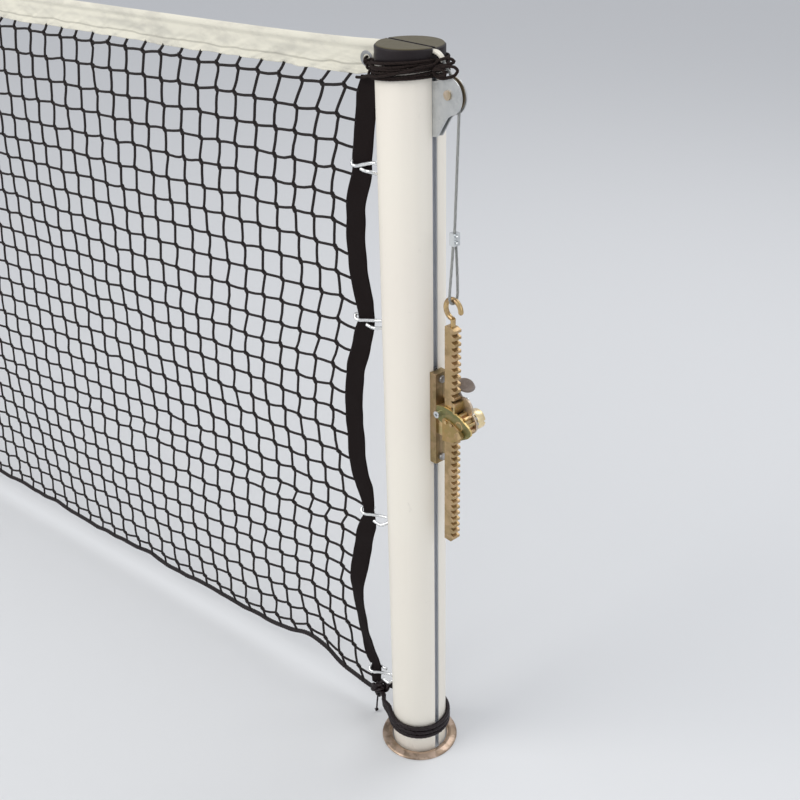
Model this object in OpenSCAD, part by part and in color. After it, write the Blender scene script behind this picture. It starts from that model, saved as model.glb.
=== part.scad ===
// Net for a court game on two round socketed posts, with a rack and pinion cable tensioner.
// X runs along the net, +Z is up, and the origin is on the near post's axis at floor level.
// The near post's own fittings are drawn in the post's frame: x is the distance out from the
// post's axis along its groove, y is across the groove and z is the height.

/* [Court] */
// Distance between the axes of the two posts
post_span = 12800; // [3000:100:13500]
// Height of the top of the headband above the floor
net_height = 1070; // [1050:5:1120]
// How far the near post is turned in its sleeve, in degrees
post_turn = 10; // [0:1:12]

/* [Posts] */
// Outer diameter of the post profile
post_d = 83; // [80:0.5:90]
// Wall of the post profile
post_wall = 3; // [2:0.5:4]
// Width of the groove's mouth
groove_mouth = 8; // [7:0.5:10]
// Width of the groove's cavity behind the mouth
groove_cavity = 18; // [16:0.5:20]
// Depth of the groove's cavity
groove_depth = 7; // [6:0.5:8]
// Length of post below the floor
post_embed = 350; // [200:10:450]
// Height of the cap's visible rim
cap_rim = 20; // [18:0.5:24]
// How far the cap stands above the headband
cap_rise = 6; // [4:0.5:10]
// Length of the cap's plug inside the post
cap_plug = 16; // [8:1:30]
// Width of the thin slit across the cap's top
cap_slot = 3.2; // [2.6:0.2:5]

/* [Ground sleeves] */
// Radial gap between the post and its ground sleeve
sleeve_gap = 0.3; // [0.2:0.1:0.6]
// Wall of the ground sleeve
sleeve_wall = 4.7; // [4.2:0.1:6]
// Thickness of the sleeve's bottom plate
sleeve_base = 6; // [3:0.5:10]
// Outer diameter of the floor ring
ring_d = 119; // [112:1:140]
// Height of the floor ring above the floor
ring_rise = 4.5; // [3:0.5:7]
// Depth of the floor ring's skirt below the floor
ring_skirt = 12; // [6:1:20]
// Wall of the floor ring's skirt
ring_skirt_wall = 3; // [2:0.5:3]
// Height of the skirt's inner lip above the floor
ring_lip = 2; // [1:0.5:3]

/* [Pulley] */
// Drop from the cable in the headband down to the sheave's axle
sheave_drop = 37; // [36:0.5:41]
// Distance of the sheave's axle from the post's axis
sheave_out = 67.5; // [66:0.5:70]
// Outer diameter of the sheave
sheave_d = 41; // [38:0.5:43]
// Depth of the sheave's groove, from the rim to the cable's middle
sheave_groove = 6.25; // [5:0.25:7]
// Width of the sheave
sheave_w = 5; // [4.6:0.1:5.2]
// Diameter of the sheave's axle
axle_d = 8; // [6:0.5:9]
// Thickness of each cheek of the pulley bracket
pulley_cheek = 1.8; // [1.2:0.1:2.5]
// Drop from the sheave's axle down to the pulley bracket's foot
pulley_foot_drop = 52; // [45:1:70]

/* [Cable] */
// Diameter of the bare steel cable
cable_d = 3.5; // [3:0.1:3.8]
// Diameter of the sheathed cable in the headband
sheath_d = 6; // [5:0.1:6.4]
// Drop from the cable in the headband down to the cable clip's lower end
clip_drop = 214; // [205:1:220]
// Height of the cable clip
clip_h = 16; // [12:1:20]

/* [Tensioner] */
// Drop from the cable in the headband down to the crank's axis
crank_drop = 453; // [425:1:475]
// Gear module of the rack and the pinion
gear_module = 3; // [2.9:0.05:3.05]
// Number of teeth on the pinion
pinion_teeth = 9; // [9:1:10]
// Gear teeth's pressure angle in degrees
pressure_angle = 20; // [19:0.5:22]
// Play between the teeth along the pitch line
backlash = 0.3; // [0.2:0.05:0.5]
// Number of rack teeth above the crank's axis
teeth_above = 14; // [11:1:15]
// Number of rack teeth below the crank's axis
teeth_below = 20; // [16:1:22]
// Width of the rack across the post's groove
rack_w = 12; // [9:0.5:13]
// Depth of the rack with its teeth
rack_depth = 18; // [16:0.5:20]
// Running gap beside and behind the rack
rack_gap = 0.4; // [0.3:0.05:0.6]
// Length of the base bar on the post
bar_len = 135; // [125:1:160]
// Width of the base bar
bar_w = 20; // [18:0.5:26]
// Thickness of the base bar
bar_t = 10; // [8:0.5:12]
// Depth of the guide block behind the rack
guide_t = 12; // [10:0.5:14]
// Thickness of the housing's cheeks
cheek_t = 3; // [2:0.1:4]
// Thickness of the cover plate on the near cheek
cover_t = 2; // [1.5:0.1:3]
// Diameter of the pinion's shaft
shaft_d = 10; // [8:0.5:11]
// Wall of the shaft's bushes
bush_wall = 1.5; // [1:0.1:2]
// Radial running clearance of shafts in their bores
running_gap = 0.05; // [0.03:0.01:0.08]
// Outer diameter of the ratchet wheel
ratchet_d = 29; // [27:0.5:30]
// Number of teeth on the ratchet wheel
ratchet_teeth = 12; // [10:1:16]
// Thickness of the ratchet wheel
ratchet_t = 3; // [2:0.5:4]
// Outer diameter of the crank coupling
coupling_d = 27; // [24:0.5:28]
// Length of the crank coupling
coupling_len = 14; // [12:0.5:18]
// Diameter of the crank coupling's socket
socket_d = 12; // [11:0.5:14]
// Depth of the crank coupling's socket
socket_len = 12; // [9:0.5:12]
// Diameter of the pawl's pin
pawl_pin_d = 5; // [4:0.5:6]

/* [Net] */
// Height of the headband
band_h = 45; // [40:1:60]
// Diameter of the rolled top edge of the headband
band_roll = 10; // [9:0.5:13]
// Thickness of the headband below the roll
band_t = 3; // [2:0.5:4]
// Distance from the post's axis to the end of the headband
band_end = 58; // [56:1:80]
// Width of the side tapes
tape_w = 30; // [20:1:40]
// Thickness of the side tapes
tape_t = 3; // [2:0.5:4]
// Thickness of the knotted net
net_t = 2.4; // [1.5:0.1:3]
// Height of the net's bottom cord above the floor
net_bottom = 56; // [50:1:66]
// Openings across the net's plain grid
windows_across = 12; // [8:1:12]
// Openings from the net's foot to its headband
windows_up = 4; // [2:1:6]
// Width of the bars between the openings
window_rib = 14; // [8:1:40]
// Diameter of the bottom cord
bottom_cord_d = 6; // [4:0.5:8]
// Outer diameter of the grommet
grommet_d = 19; // [16:0.5:20]
// Diameter of the grommet's hole
grommet_hole = 11; // [8:0.5:12]
// Diameter of the wire of the side hooks
hook_wire = 3; // [2.5:0.1:3.2]

/* [Lashings] */
// Diameter of the top lashing's cord
top_cord_d = 3.9; // [3:0.1:4]
// Turns of the top lashing
top_turns = 5; // [4:1:5]
// Drop from the cap's top down to the middle of the top lashing
top_lashing_drop = 27.4; // [27:0.1:28]
// Tilt of the top lashing in degrees
top_lashing_tilt = 3; // [2:0.2:3.4]
// Diameter of the bottom lashing's cord
bottom_lashing_d = 7; // [5:0.5:7]
// Turns of the bottom lashing
bottom_turns = 3; // [2:1:3]
// Height of the lower edge of the bottom lashing
bottom_lashing_z = 33; // [25:1:36]

/* [Hidden] */
$fn = 64;
tiny = 0.01;
post_r = post_d / 2;
cap_top = net_height + cap_rise;
post_top = cap_top - cap_rim;
cable_z = net_height - band_roll / 2;
sheave_z = cable_z - sheave_drop;
pulley_foot_z = sheave_z - pulley_foot_drop;
clip_z = cable_z - clip_drop;
crank_z = cable_z - crank_drop;
anchor_z = cable_z - 75;
top_lashing_z = cap_top - top_lashing_drop;
net_y = post_r * sin(post_turn);
far_x = -post_span;

// Post section
lip = post_wall;
cavity_out = post_r - lip;
cavity_in = cavity_out - groove_depth;
channel_in = cavity_in - post_wall;
channel_half = groove_cavity / 2 + post_wall;
fit_gap = 0.2;

// Ground sleeve
sleeve_in = post_r + sleeve_gap;
sleeve_out = sleeve_in + sleeve_wall;
ring_slope = 9;

// Tensioner, outward from the post's axis
bar_face = post_r + bar_t;
guide_face = bar_face + guide_t;
rack_back = guide_face + rack_gap;
rack_tip = rack_back + rack_depth;
rack_tooth_h = 5.5;
pitch = PI * gear_module;
pinion_pitch_r = gear_module * pinion_teeth / 2;
rack_addendum = min(1.5, 0.95 * pinion_pitch_r * sin(pressure_angle) ^ 2);
pitch_line = rack_tip - rack_addendum;
pinion_tip_r = pinion_pitch_r + 2;
pinion_root_r = pinion_pitch_r - 2.3;
crank_out = pitch_line + pinion_pitch_r;
rack_top = crank_z + teeth_above * pitch - 0.5;
rack_foot = crank_z - teeth_below * pitch - 3;

// Tensioner, across the groove
cheek_in = rack_w / 2 + rack_gap;
cheek_out = cheek_in + cheek_t;
cover_out = cheek_out + cover_t;
ratchet_y = cheek_out + 0.5;
coupling_y = ratchet_y + ratchet_t;
coupling_end = coupling_y + coupling_len;
bush_r = shaft_d / 2 + bush_wall;

// Housing plates, as offsets from the crank's axis along x and z
cheek_top_out = 21.5;
cover_in = bar_face + 13.5;
bridge_out = crank_out - 11;
bridge_t = 3;
bridge_z = crank_z + 14.5;
bridge_h = 14.5;
ear_out = crank_out - 8;
ear_z = crank_z + 17.5;
ear_r = 16;
pawl_out = crank_out - 14.5;
pawl_z = crank_z + 22.2;
pawl_y = ratchet_y;
pawl_line_r = ratchet_d / 2 + 0.3;
pawl_span = norm([crank_out - pawl_out, crank_z - pawl_z]);
pawl_reach = sqrt(pawl_span ^ 2 - pawl_line_r ^ 2);
pawl_turn = atan2(crank_z - pawl_z, crank_out - pawl_out) - asin(pawl_line_r / pawl_span);
tab_z = pawl_z + 22.9;

// Fasteners
bar_screw_d = 6;
bar_screw_head = 10;
bar_screw_inset = 9;
t_nut_len = 18;
square_screw_d = 6;
square_screw_side = 9;
small_screw_d = 3;
small_screw_head = 5;
clamp_screw_d = 5;
clamp_screw_head = 9.4;

// Rack hook and cable
rod_d = 6.6;
hook_r = 13.2;
hook_out = rack_back + 9.5;
hook_z = rack_top + 10 + hook_r;
wrap_r = sheave_d / 2 - sheave_groove;
run_top_out = sheave_out + wrap_r;
run_foot_out = hook_out + 1.3;
clip_top = clip_z + clip_h;
pulley_cheek_r = sheave_d / 2 + 1;

// Side tapes, from the headband down
band_foot = net_height - band_h;
hook_drops = [108, 319, 637];
tape_turns_z = concat([band_foot], [for (drop = hook_drops) band_foot - drop], [net_bottom + 22]);
tape_turns_x = [-72, -84.5, -86, -92.5, -96];
tape_bulge = [2, 13.5, 27, 31];
tape_foot = net_bottom - 10;
tape_steps = 8;
hook_count = 4;
eyelet_in = 10;
corner_run = [[-398, -4], [-288, 3], [-243, 11], [-204, 6], [-175, -3], [-137, -10], [-114, -13]];

// Finishes
coat = [0.92, 0.90, 0.85];
cap_black = [0.13, 0.12, 0.12];
zinc = [0.66, 0.69, 0.70];
yellow_zinc = [0.74, 0.62, 0.40];
brass = [0.60, 0.48, 0.30];
steel = [0.55, 0.56, 0.57];
canvas = [0.93, 0.92, 0.88];
cord_black = [0.06, 0.06, 0.07];
dark_grip = [0.30, 0.29, 0.29];

// ---------------------------------------------------------------- frames

module near_frame()
    rotate([0, 0, -post_turn]) children();

module far_frame()
    translate([far_x, net_y, 0]) mirror([1, 0, 0]) children();

// Mirrors a drawing of the net's near edge to its far edge
module far_edge()
    translate([far_x, 0, 0]) mirror([1, 0, 0]) children();

// An outline drawn as [x, z], laid across the groove from y = from to y = to
module across(from, to)
    translate([0, to, 0]) rotate([90, 0, 0]) linear_extrude(to - from) children();

module pin_across(x, z, d, from, to)
    translate([x, from, z]) rotate([-90, 0, 0]) cylinder(h = to - from, d = d);

// ---------------------------------------------------------------- swept cords

function unit(v) = v / norm(v);
function spline(a, b, c, d, t) =
    0.5 * (2 * b + (c - a) * t + (2 * a - 5 * b + 4 * c - d) * t * t + (3 * b - a - 3 * c + d) * t * t * t);
function smooth(p, n) =
    let (last = len(p) - 1)
    concat([for (i = [0:last - 1], j = [0:n - 1])
        spline(p[max(i - 1, 0)], p[i], p[i + 1], p[min(i + 2, last)], j / n)], [p[last]]);
function tangent(p, i) = unit(p[min(i + 1, len(p) - 1)] - p[max(i - 1, 0)]);
function side_of(t) = abs(t[2]) > 0.9 ? unit(cross(t, [1, 0, 0])) : unit(cross(t, [0, 0, 1]));
function carried(v, t) = unit(v - (v * t) * t);
function sides_along(p, i = 0, v = undef) =
    let (t = tangent(p, i), w = is_undef(v) ? side_of(t) : carried(v, t))
    i == len(p) - 1 ? [w] : concat([w], sides_along(p, i + 1, w));

// A round cord of diameter d through the points p, with n sides
module cord(p, d, n = 8) {
    count = len(p);
    across_dirs = sides_along(p);
    rings = [for (i = [0:count - 1], k = [0:n - 1])
        let (t = tangent(p, i), u = across_dirs[i], w = cross(t, u), a = 360 * k / n)
        p[i] + d / 2 * (cos(a) * u + sin(a) * w)];
    walls = [for (i = [0:count - 2], k = [0:n - 1])
        [(i + 1) * n + k, (i + 1) * n + (k + 1) % n, i * n + (k + 1) % n, i * n + k]];
    first_end = [for (k = [0:n - 1]) k];
    last_end = [for (k = [0:n - 1]) count * n - 1 - k];
    polyhedron(rings, concat([first_end, last_end], walls));
}

// ---------------------------------------------------------------- posts and sleeves

module profile_outline() {
    difference() {
        circle(post_r);
        difference() {
            circle(post_r - post_wall);
            profile_ribs();
        }
        for (s = [0, 180]) rotate(s) {
            translate([cavity_in, -groove_cavity / 2]) square([groove_depth, groove_cavity]);
            translate([cavity_in, -groove_mouth / 2]) square([post_r, groove_mouth]);
        }
    }
}

// The channel walls and the web that joins them, inside the round tube
module profile_ribs(grow = 0) {
    for (s = [0, 180]) rotate(s)
        translate([channel_in - grow, -channel_half - grow]) square([post_r, 2 * (channel_half + grow)]);
    translate([-post_r, -post_wall / 2 - grow]) square([post_d, post_wall + 2 * grow]);
}

module post_profile()
    translate([0, 0, -post_embed]) linear_extrude(post_embed + post_top) profile_outline();

// The line that the cable takes through the near cap, rising to the cap's outer edge
cable_rise = cap_rise + 0.4;
cap_line = smooth([
    [-post_r - 3, 0, cable_z], [-20, 0, cable_z], [4, 0, cable_z + 0.3 * cable_rise],
    [25, 0, cable_z + 0.75 * cable_rise], [post_r + 1, 0, cable_z + cable_rise]
], 4);
level_line = [[-post_r - 3, 0, cable_z], [post_r + 3, 0, cable_z]];

// The cap, with a square channel for the cable and the slit above it along the same line
module post_cap(line) {
    chamfer = 2.5;
    half = sheath_d / 2 + 0.2;
    last = len(line) - 1;
    foot = [for (p = line) [p[0], p[2] - half]];
    roof = [for (i = [last:-1:0]) [line[i][0], line[i][2] + half]];
    difference() {
        union() {
            translate([0, 0, post_top]) cylinder(h = cap_rim - chamfer, r = post_r);
            translate([0, 0, cap_top - chamfer]) cylinder(h = chamfer, r1 = post_r, r2 = post_r - chamfer);
        }
        across(-half - 0.2, half + 0.2) polygon(concat(foot, roof));
        across(-cap_slot / 2, cap_slot / 2)
            polygon(concat(foot, [[line[last][0], cap_top + 1], [line[0][0], cap_top + 1]]));
    }
    translate([0, 0, post_top - cap_plug]) linear_extrude(cap_plug) difference() {
        circle(post_r - post_wall - fit_gap);
        profile_ribs(fit_gap);
    }
}

module ground_sleeve() {
    depth = post_embed + sleeve_base;
    difference() {
        union() {
            translate([0, 0, -depth]) cylinder(h = depth - ring_skirt, r = sleeve_out);
            translate([0, 0, -depth]) cylinder(h = depth, r = sleeve_out - ring_skirt_wall);
        }
        translate([0, 0, -post_embed]) cylinder(h = depth, r = sleeve_in);
    }
}

// The ring's skirt fills the rebate in the sleeve's mouth
module floor_ring() {
    skirt_in = sleeve_out - ring_skirt_wall;
    rotate_extrude() polygon([
        [skirt_in, -ring_skirt], [sleeve_out, -ring_skirt], [sleeve_out, 0], [ring_d / 2, 0],
        [ring_d / 2, 1], [ring_d / 2 - 1, 2], [ring_d / 2 - ring_slope, ring_rise],
        [sleeve_out + 1, ring_rise], [sleeve_out, ring_rise - 1], [sleeve_out, ring_lip], [skirt_in, ring_lip]
    ]);
}

// ---------------------------------------------------------------- pulley

module pulley_cheek_outline()
    union() {
        difference() {
            union() {
                translate([sheave_out + 0.5, sheave_z - 1.5]) circle(pulley_cheek_r);
                polygon([
                    [post_r + 0.2, pulley_foot_z], [post_r + 9, pulley_foot_z + 2],
                    [sheave_out - 8, sheave_z - 36], [sheave_out - 1, sheave_z - 26],
                    [sheave_out + 14, sheave_z - 17], [sheave_out + 0.5, sheave_z + 20],
                    [post_r + 6, sheave_z + 12.6], [post_r + 0.2, sheave_z + 11.6]
                ]);
            }
            translate([sheave_out, sheave_z]) circle(axle_d / 2);
        }
    }

module pulley_bracket() {
    inner = sheave_w / 2 + 0.25;
    outer = inner + pulley_cheek;
    web_h = sheave_z - 24 - pulley_foot_z;
    for (from = [-outer, inner]) across(from, from + pulley_cheek) pulley_cheek_outline();
    translate([post_r + 0.2, -inner, pulley_foot_z]) cube([3, 2 * inner, web_h]);
    translate([cavity_out - tiny, -groove_mouth / 2 + fit_gap, pulley_foot_z + 4])
        cube([lip + 0.2 + 2 * tiny, groove_mouth - 2 * fit_gap, web_h - 6]);
    translate([cavity_in + 1.5, -groove_cavity / 2 + 1, pulley_foot_z + 4])
        cube([groove_depth - 1.5, groove_cavity - 2, web_h - 6]);
}

module pulley_axle() {
    outer = sheave_w / 2 + 0.25 + pulley_cheek;
    head = 2;
    pin_across(sheave_out, sheave_z, axle_d, -outer, outer);
    pin_across(sheave_out, sheave_z, axle_d + 3, -outer - head, -outer);
    pin_across(sheave_out, sheave_z, axle_d + 3, outer, outer + head);
}

module sheave() {
    groove = cable_d / 2 + 0.2;
    half = sheave_w / 2;
    translate([sheave_out, 0, sheave_z]) rotate([90, 0, 0]) rotate_extrude() polygon(concat(
        [[axle_d / 2 + running_gap, -half], [sheave_d / 2, -half], [sheave_d / 2, -groove]],
        [for (i = [0:8]) [wrap_r - groove * sin(180 * i / 8), -groove * cos(180 * i / 8)]],
        [[sheave_d / 2, groove], [sheave_d / 2, half], [axle_d / 2 + running_gap, half]]
    ));
}

// ---------------------------------------------------------------- tensioner housing

module bar_screw_places()
    for (s = [-1, 1]) translate([0, 0, crank_z - 8 + s * (bar_len / 2 - bar_screw_inset)]) children();

module base_bar()
    difference() {
        translate([0, -bar_w / 2, crank_z - 8 - bar_len / 2]) cube([bar_face, bar_w, bar_len]);
        translate([0, 0, crank_z - 9 - bar_len / 2]) cylinder(h = bar_len + 2, r = post_r);
        bar_screw_places() rotate([0, 90, 0]) cylinder(h = bar_face + 1, d = bar_screw_d);
    }

module base_bar_screws()
    bar_screw_places() {
        translate([cavity_in + 2, 0, 0]) rotate([0, 90, 0]) cylinder(h = bar_face - cavity_in - 2, d = bar_screw_d);
        translate([bar_face, 0, 0]) rotate([0, 90, 0]) cylinder(h = 3.5, d = bar_screw_head);
    }

module base_bar_t_nuts()
    bar_screw_places() difference() {
        translate([cavity_in + 1.5, -groove_cavity / 2 + 1, -t_nut_len / 2])
            cube([groove_depth - 1.5, groove_cavity - 2, t_nut_len]);
        rotate([0, 90, 0]) cylinder(h = post_r, d = bar_screw_d);
    }

// The clamp screws that hold the cheeks to the guide block
clamp_out = bar_face + 4.6;
clamp_z = crank_z + 4;

module rack_guide()
    difference() {
        translate([bar_face, -cheek_in, crank_z - 29]) cube([guide_t, 2 * cheek_in, 43]);
        pin_across(clamp_out, clamp_z, clamp_screw_d, -cheek_in - 1, cheek_in + 1);
    }

module cheek_screws()
    for (s = [0, 1]) mirror([0, s, 0]) {
        pin_across(clamp_out, clamp_z, clamp_screw_d, -cheek_out, -1);
        difference() {
            pin_across(clamp_out, clamp_z, clamp_screw_head, -cheek_out - 4.5, -cheek_out);
            translate([clamp_out, -cheek_out - 2, clamp_z]) rotate([90, 0, 0]) cylinder(h = 4, d = 4.4, $fn = 6);
        }
    }

module near_cheek_outline() {
    z = crank_z;
    x = crank_out;
    polygon([
        [bar_face, z - 4], [bar_face + 11, z - 7], [cover_in, z - 13], [cover_in, z - 32],
        [x - 10, z - 27.5], [x + 4, z - 19], [x + 16, z - 11.5], [x + cheek_top_out, z - 5], [x + cheek_top_out, z + 0.5],
        [x + 17, z + 4.8], [x + 2, z + 12.5], [x - 14, z + 17.3], [bar_face + 15, z + 18],
        [bar_face, z + 15]
    ]);
}

module near_cheek()
    difference() {
        across(-cheek_out, -cheek_in) near_cheek_outline();
        pin_across(crank_out, crank_z, 2 * bush_r, -cheek_out - 1, -cheek_in + 1);
        pin_across(clamp_out, clamp_z, clamp_screw_d, -cheek_out - 1, -cheek_in + 1);
        pin_across(crank_out + 5, crank_z - 9, square_screw_d, -cheek_out - 1, -cheek_in + 1);
        translate([bridge_out, -cheek_out - 1, bridge_z]) cube([bridge_t, cheek_t + 2, bridge_h]);
    }

module far_cheek()
    difference() {
        across(cheek_in, cheek_out) {
            translate([ear_out, ear_z]) circle(ear_r);
            translate([crank_out, crank_z]) circle(ear_r);
            polygon([
                [bar_face, crank_z - 31], [bar_face + 12, crank_z - 31], [crank_out - 4, crank_z - 15.5],
                [crank_out + 10, crank_z], [ear_out + 9, ear_z + 12], [ear_out - 4, ear_z + 15.4],
                [bar_face + 12, crank_z + 24], [bar_face, crank_z + 18]
            ]);
        }
        pin_across(crank_out, crank_z, 2 * bush_r, cheek_in - 1, cheek_out + 1);
        pin_across(clamp_out, clamp_z, clamp_screw_d, cheek_in - 1, cheek_out + 1);
        pin_across(pawl_out, pawl_z, pawl_pin_d, cheek_in - 1, cheek_out + 1);
    }

// The wall between the cheeks, just outside the rack's teeth
module bridge_plate()
    translate([bridge_out, -cheek_out, bridge_z]) cube([bridge_t, cheek_out + cheek_in, bridge_h]);

module cover_plate() {
    z = crank_z;
    x = crank_out;
    difference() {
        across(-cover_out, -cheek_out) polygon([
            [cover_in, z - 32], [x - 10, z - 27.5], [x + 4, z - 18.5],
            [x + 10, z - 12], [x + 9, z - 7], [x + 1, z - 3.5], [x - 14, z + 2.5],
            [x - 26, z + 3], [cover_in, z]
        ]);
        pin_across(x + 5, z - 9, square_screw_d, -cover_out - 1, -cheek_out + 1);
    }
}

module cover_screws() {
    pin_across(crank_out + 5, crank_z - 9, square_screw_d, -cover_out, -cheek_in);
    translate([crank_out + 5, -cover_out, crank_z - 9]) rotate([90, 45, 0])
        translate([-square_screw_side / 2, -square_screw_side / 2, 0])
            cube([square_screw_side, square_screw_side, 4.5]);
    for (x = [crank_out - 22, crank_out - 11.5])
        pin_across(x, crank_z - 1.5, small_screw_head, -cover_out - 1.6, -cover_out);
}

module shaft_bushes()
    for (from = [-cheek_out, cheek_in]) difference() {
        pin_across(crank_out, crank_z, 2 * bush_r, from, from + cheek_t);
        pin_across(crank_out, crank_z, shaft_d + 2 * running_gap, from - 1, from + cheek_t + 1);
    }

// ---------------------------------------------------------------- pinion, ratchet and crank coupling

module pinion_shaft()
    pin_across(crank_out, crank_z, shaft_d, -cheek_out, coupling_end - socket_len);

// Involute tooth flanks of a gear with z teeth, as [radius, half angle of the tooth in degrees]
function involute_angle(r, base_r) = let (a = acos(base_r / r)) tan(a) * 180 / PI - a;
function half_tooth(r, pitch_r, base_r, z) =
    90 / z - backlash / 4 / pitch_r * 180 / PI + involute_angle(pitch_r, base_r) - involute_angle(max(r, base_r), base_r);
function polar(r, a) = [r * cos(a), r * sin(a)];

module pinion_outline() {
    base_r = pinion_pitch_r * cos(pressure_angle);
    steps = 6;
    flank = [for (i = [0:steps]) base_r + (pinion_tip_r - base_r) * i / steps];
    base_half = half_tooth(base_r, pinion_pitch_r, base_r, pinion_teeth);
    polygon([for (k = [0:pinion_teeth - 1]) let (mid = 180 + 360 * k / pinion_teeth) each concat(
        [polar(pinion_root_r, mid - base_half)],
        [for (r = flank) polar(r, mid - half_tooth(r, pinion_pitch_r, base_r, pinion_teeth))],
        [for (i = [steps:-1:0]) polar(flank[i], mid + half_tooth(flank[i], pinion_pitch_r, base_r, pinion_teeth))],
        [polar(pinion_root_r, mid + base_half)]
    )]);
}

module pinion()
    difference() {
        across(-rack_w / 2, rack_w / 2) translate([crank_out, crank_z]) pinion_outline();
        pin_across(crank_out, crank_z, shaft_d, -rack_w, rack_w);
    }

// Saw teeth whose steep faces meet the pawl when the cable pulls the rack up
module ratchet_wheel() {
    tip = ratchet_d / 2;
    root = tip - 3;
    step = 360 / ratchet_teeth;
    difference() {
        across(ratchet_y, ratchet_y + ratchet_t) translate([crank_out, crank_z])
            polygon([for (k = [0:ratchet_teeth - 1]) each [
                polar(root, k * step), polar(tip, k * step + 2), polar(tip, (k + 0.25) * step)
            ]]);
        pin_across(crank_out, crank_z, shaft_d, ratchet_y - 1, coupling_y + 1);
    }
}

module crank_coupling() {
    chamfer = 1.5;
    r = coupling_d / 2;
    claw = 4;
    difference() {
        translate([crank_out, coupling_y, crank_z]) rotate([-90, 0, 0]) union() {
            cylinder(h = coupling_len - chamfer, r = r);
            translate([0, 0, coupling_len - chamfer]) cylinder(h = chamfer, r1 = r, r2 = r - chamfer);
        }
        pin_across(crank_out, crank_z, shaft_d, coupling_y - 1, coupling_end);
        pin_across(crank_out, crank_z, socket_d, coupling_end - socket_len, coupling_end + 1);
        translate([crank_out - r - 1, coupling_end - claw, crank_z - 2]) cube([2 * r + 2, claw + 1, 4]);
    }
}

// ---------------------------------------------------------------- pawl

// The pawl's nose points from its pin along a tangent of the ratchet wheel
module pawl_outline() {
    hub = pawl_pin_d / 2 + 3;
    translate([pawl_out, pawl_z]) circle(hub);
    translate([pawl_out, pawl_z]) rotate(pawl_turn) polygon([
        [0, 1 - hub], [pawl_reach - 5, -5.5], [pawl_reach, -3.5], [pawl_reach, 0],
        [pawl_reach - 5, 0], [pawl_reach - 12, 1.5], [4, hub - 1], [0, hub - 1]
    ]);
    neck_h = tab_z - pawl_z - 4;
    translate([pawl_out, pawl_z]) polygon([
        [-3.5, -1], [4, 2], [-2, 9], [-4.5, 12], [-4.5, neck_h], [-10.5, neck_h], [-10.5, 10]
    ]);
}

module pawl()
    difference() {
        union() {
            across(pawl_y, pawl_y + ratchet_t) pawl_outline();
            translate([pawl_out, pawl_y + 7, tab_z]) rotate([32, 0, 0]) translate([0, 0, -2])
                linear_extrude(4.6) polygon([for (i = [0:31]) [14.4 * cos(i * 11.25), 9 * sin(i * 11.25)]]);
        }
        pin_across(pawl_out, pawl_z, pawl_pin_d + 2 * running_gap, pawl_y - 1, pawl_y + ratchet_t + 1);
    }

module pawl_pin() {
    pin_across(pawl_out, pawl_z, pawl_pin_d, cheek_in, pawl_y + ratchet_t + 6);
    pin_across(pawl_out, pawl_z, pawl_pin_d + 3, pawl_y + ratchet_t + 6, pawl_y + ratchet_t + 7.2);
}

module pawl_spring() {
    wire = 1.2;
    turns = 3;
    steps = 16;
    r = pawl_pin_d / 2 + 1;
    start = pawl_y + ratchet_t + 1;
    cord([for (i = [0:turns * steps]) let (a = 360 * i / steps)
        [pawl_out + r * cos(a), start + i * 1.3 / steps, pawl_z + r * sin(a)]], wire, 6);
}

// ---------------------------------------------------------------- rack and hook

// Half the thickness of a rack tooth at distance u outside the pitch line
function rack_half(u) = pitch / 4 - backlash / 4 - u * tan(pressure_angle);

module rack_outline() {
    root = rack_tip - rack_tooth_h;
    steps = [for (i = [-teeth_below:teeth_above - 1]) crank_z + (i + 0.5) * pitch];
    polygon(concat(
        [[rack_back, rack_top], [rack_back, rack_foot], [root, rack_foot]],
        [for (z = steps) each [
            [root, z - rack_half(root - pitch_line)], [rack_tip, z - rack_half(rack_addendum)],
            [rack_tip, z + rack_half(rack_addendum)], [root, z + rack_half(root - pitch_line)]
        ]],
        [[root, rack_top]]
    ));
}

module rack()
    across(-rack_w / 2, rack_w / 2) rack_outline();

module rack_hook() {
    translate([hook_out, 0, hook_z]) rotate([90, 0, 0]) rotate_extrude(angle = 268) translate([hook_r, 0]) circle(d = rod_d);
    translate([hook_out + hook_r, 0, hook_z]) sphere(d = rod_d);
    translate([hook_out - 0.4, 0, rack_top]) cylinder(h = hook_z - hook_r - rack_top + 0.6, d = rod_d);
}

module cable_loop() {
    top = clip_z;
    x = run_foot_out;
    foot = hook_z + hook_r - rod_d / 2 - cable_d / 2 - 0.25;
    spread = rod_d / 2 + cable_d / 2 + 1.6;
    cord(smooth([
        [x, -2.2, top], [x, -3.4, top - 14], [x - 0.8, -spread + 0.6, foot + 26], [hook_out, -spread, foot + 9],
        [hook_out, -spread + 1.8, foot + 2.6], [hook_out, 0, foot], [hook_out, spread - 1.8, foot + 2.6],
        [hook_out, spread, foot + 9], [x - 0.8, spread - 0.6, foot + 26], [x, 3.4, top - 14], [x, 2.2, top]
    ], 3), cable_d);
}

module wire_clip() {
    translate([run_foot_out - 4.2, -5, clip_z]) cube([8.4, 10, clip_h]);
    for (dz = [4, clip_h - 4])
        translate([run_foot_out - 7, 0, clip_z + dz]) rotate([0, 90, 0]) cylinder(h = 14, d = 5);
}

// Straight cable between the clip and the sheave, with level ends
module cable_run()
    cord([
        [run_foot_out, 0, clip_top], [run_foot_out, 0, clip_top + 3],
        [run_top_out, 0, sheave_z - 3], [run_top_out, 0, sheave_z]
    ], cable_d, 12);

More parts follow.
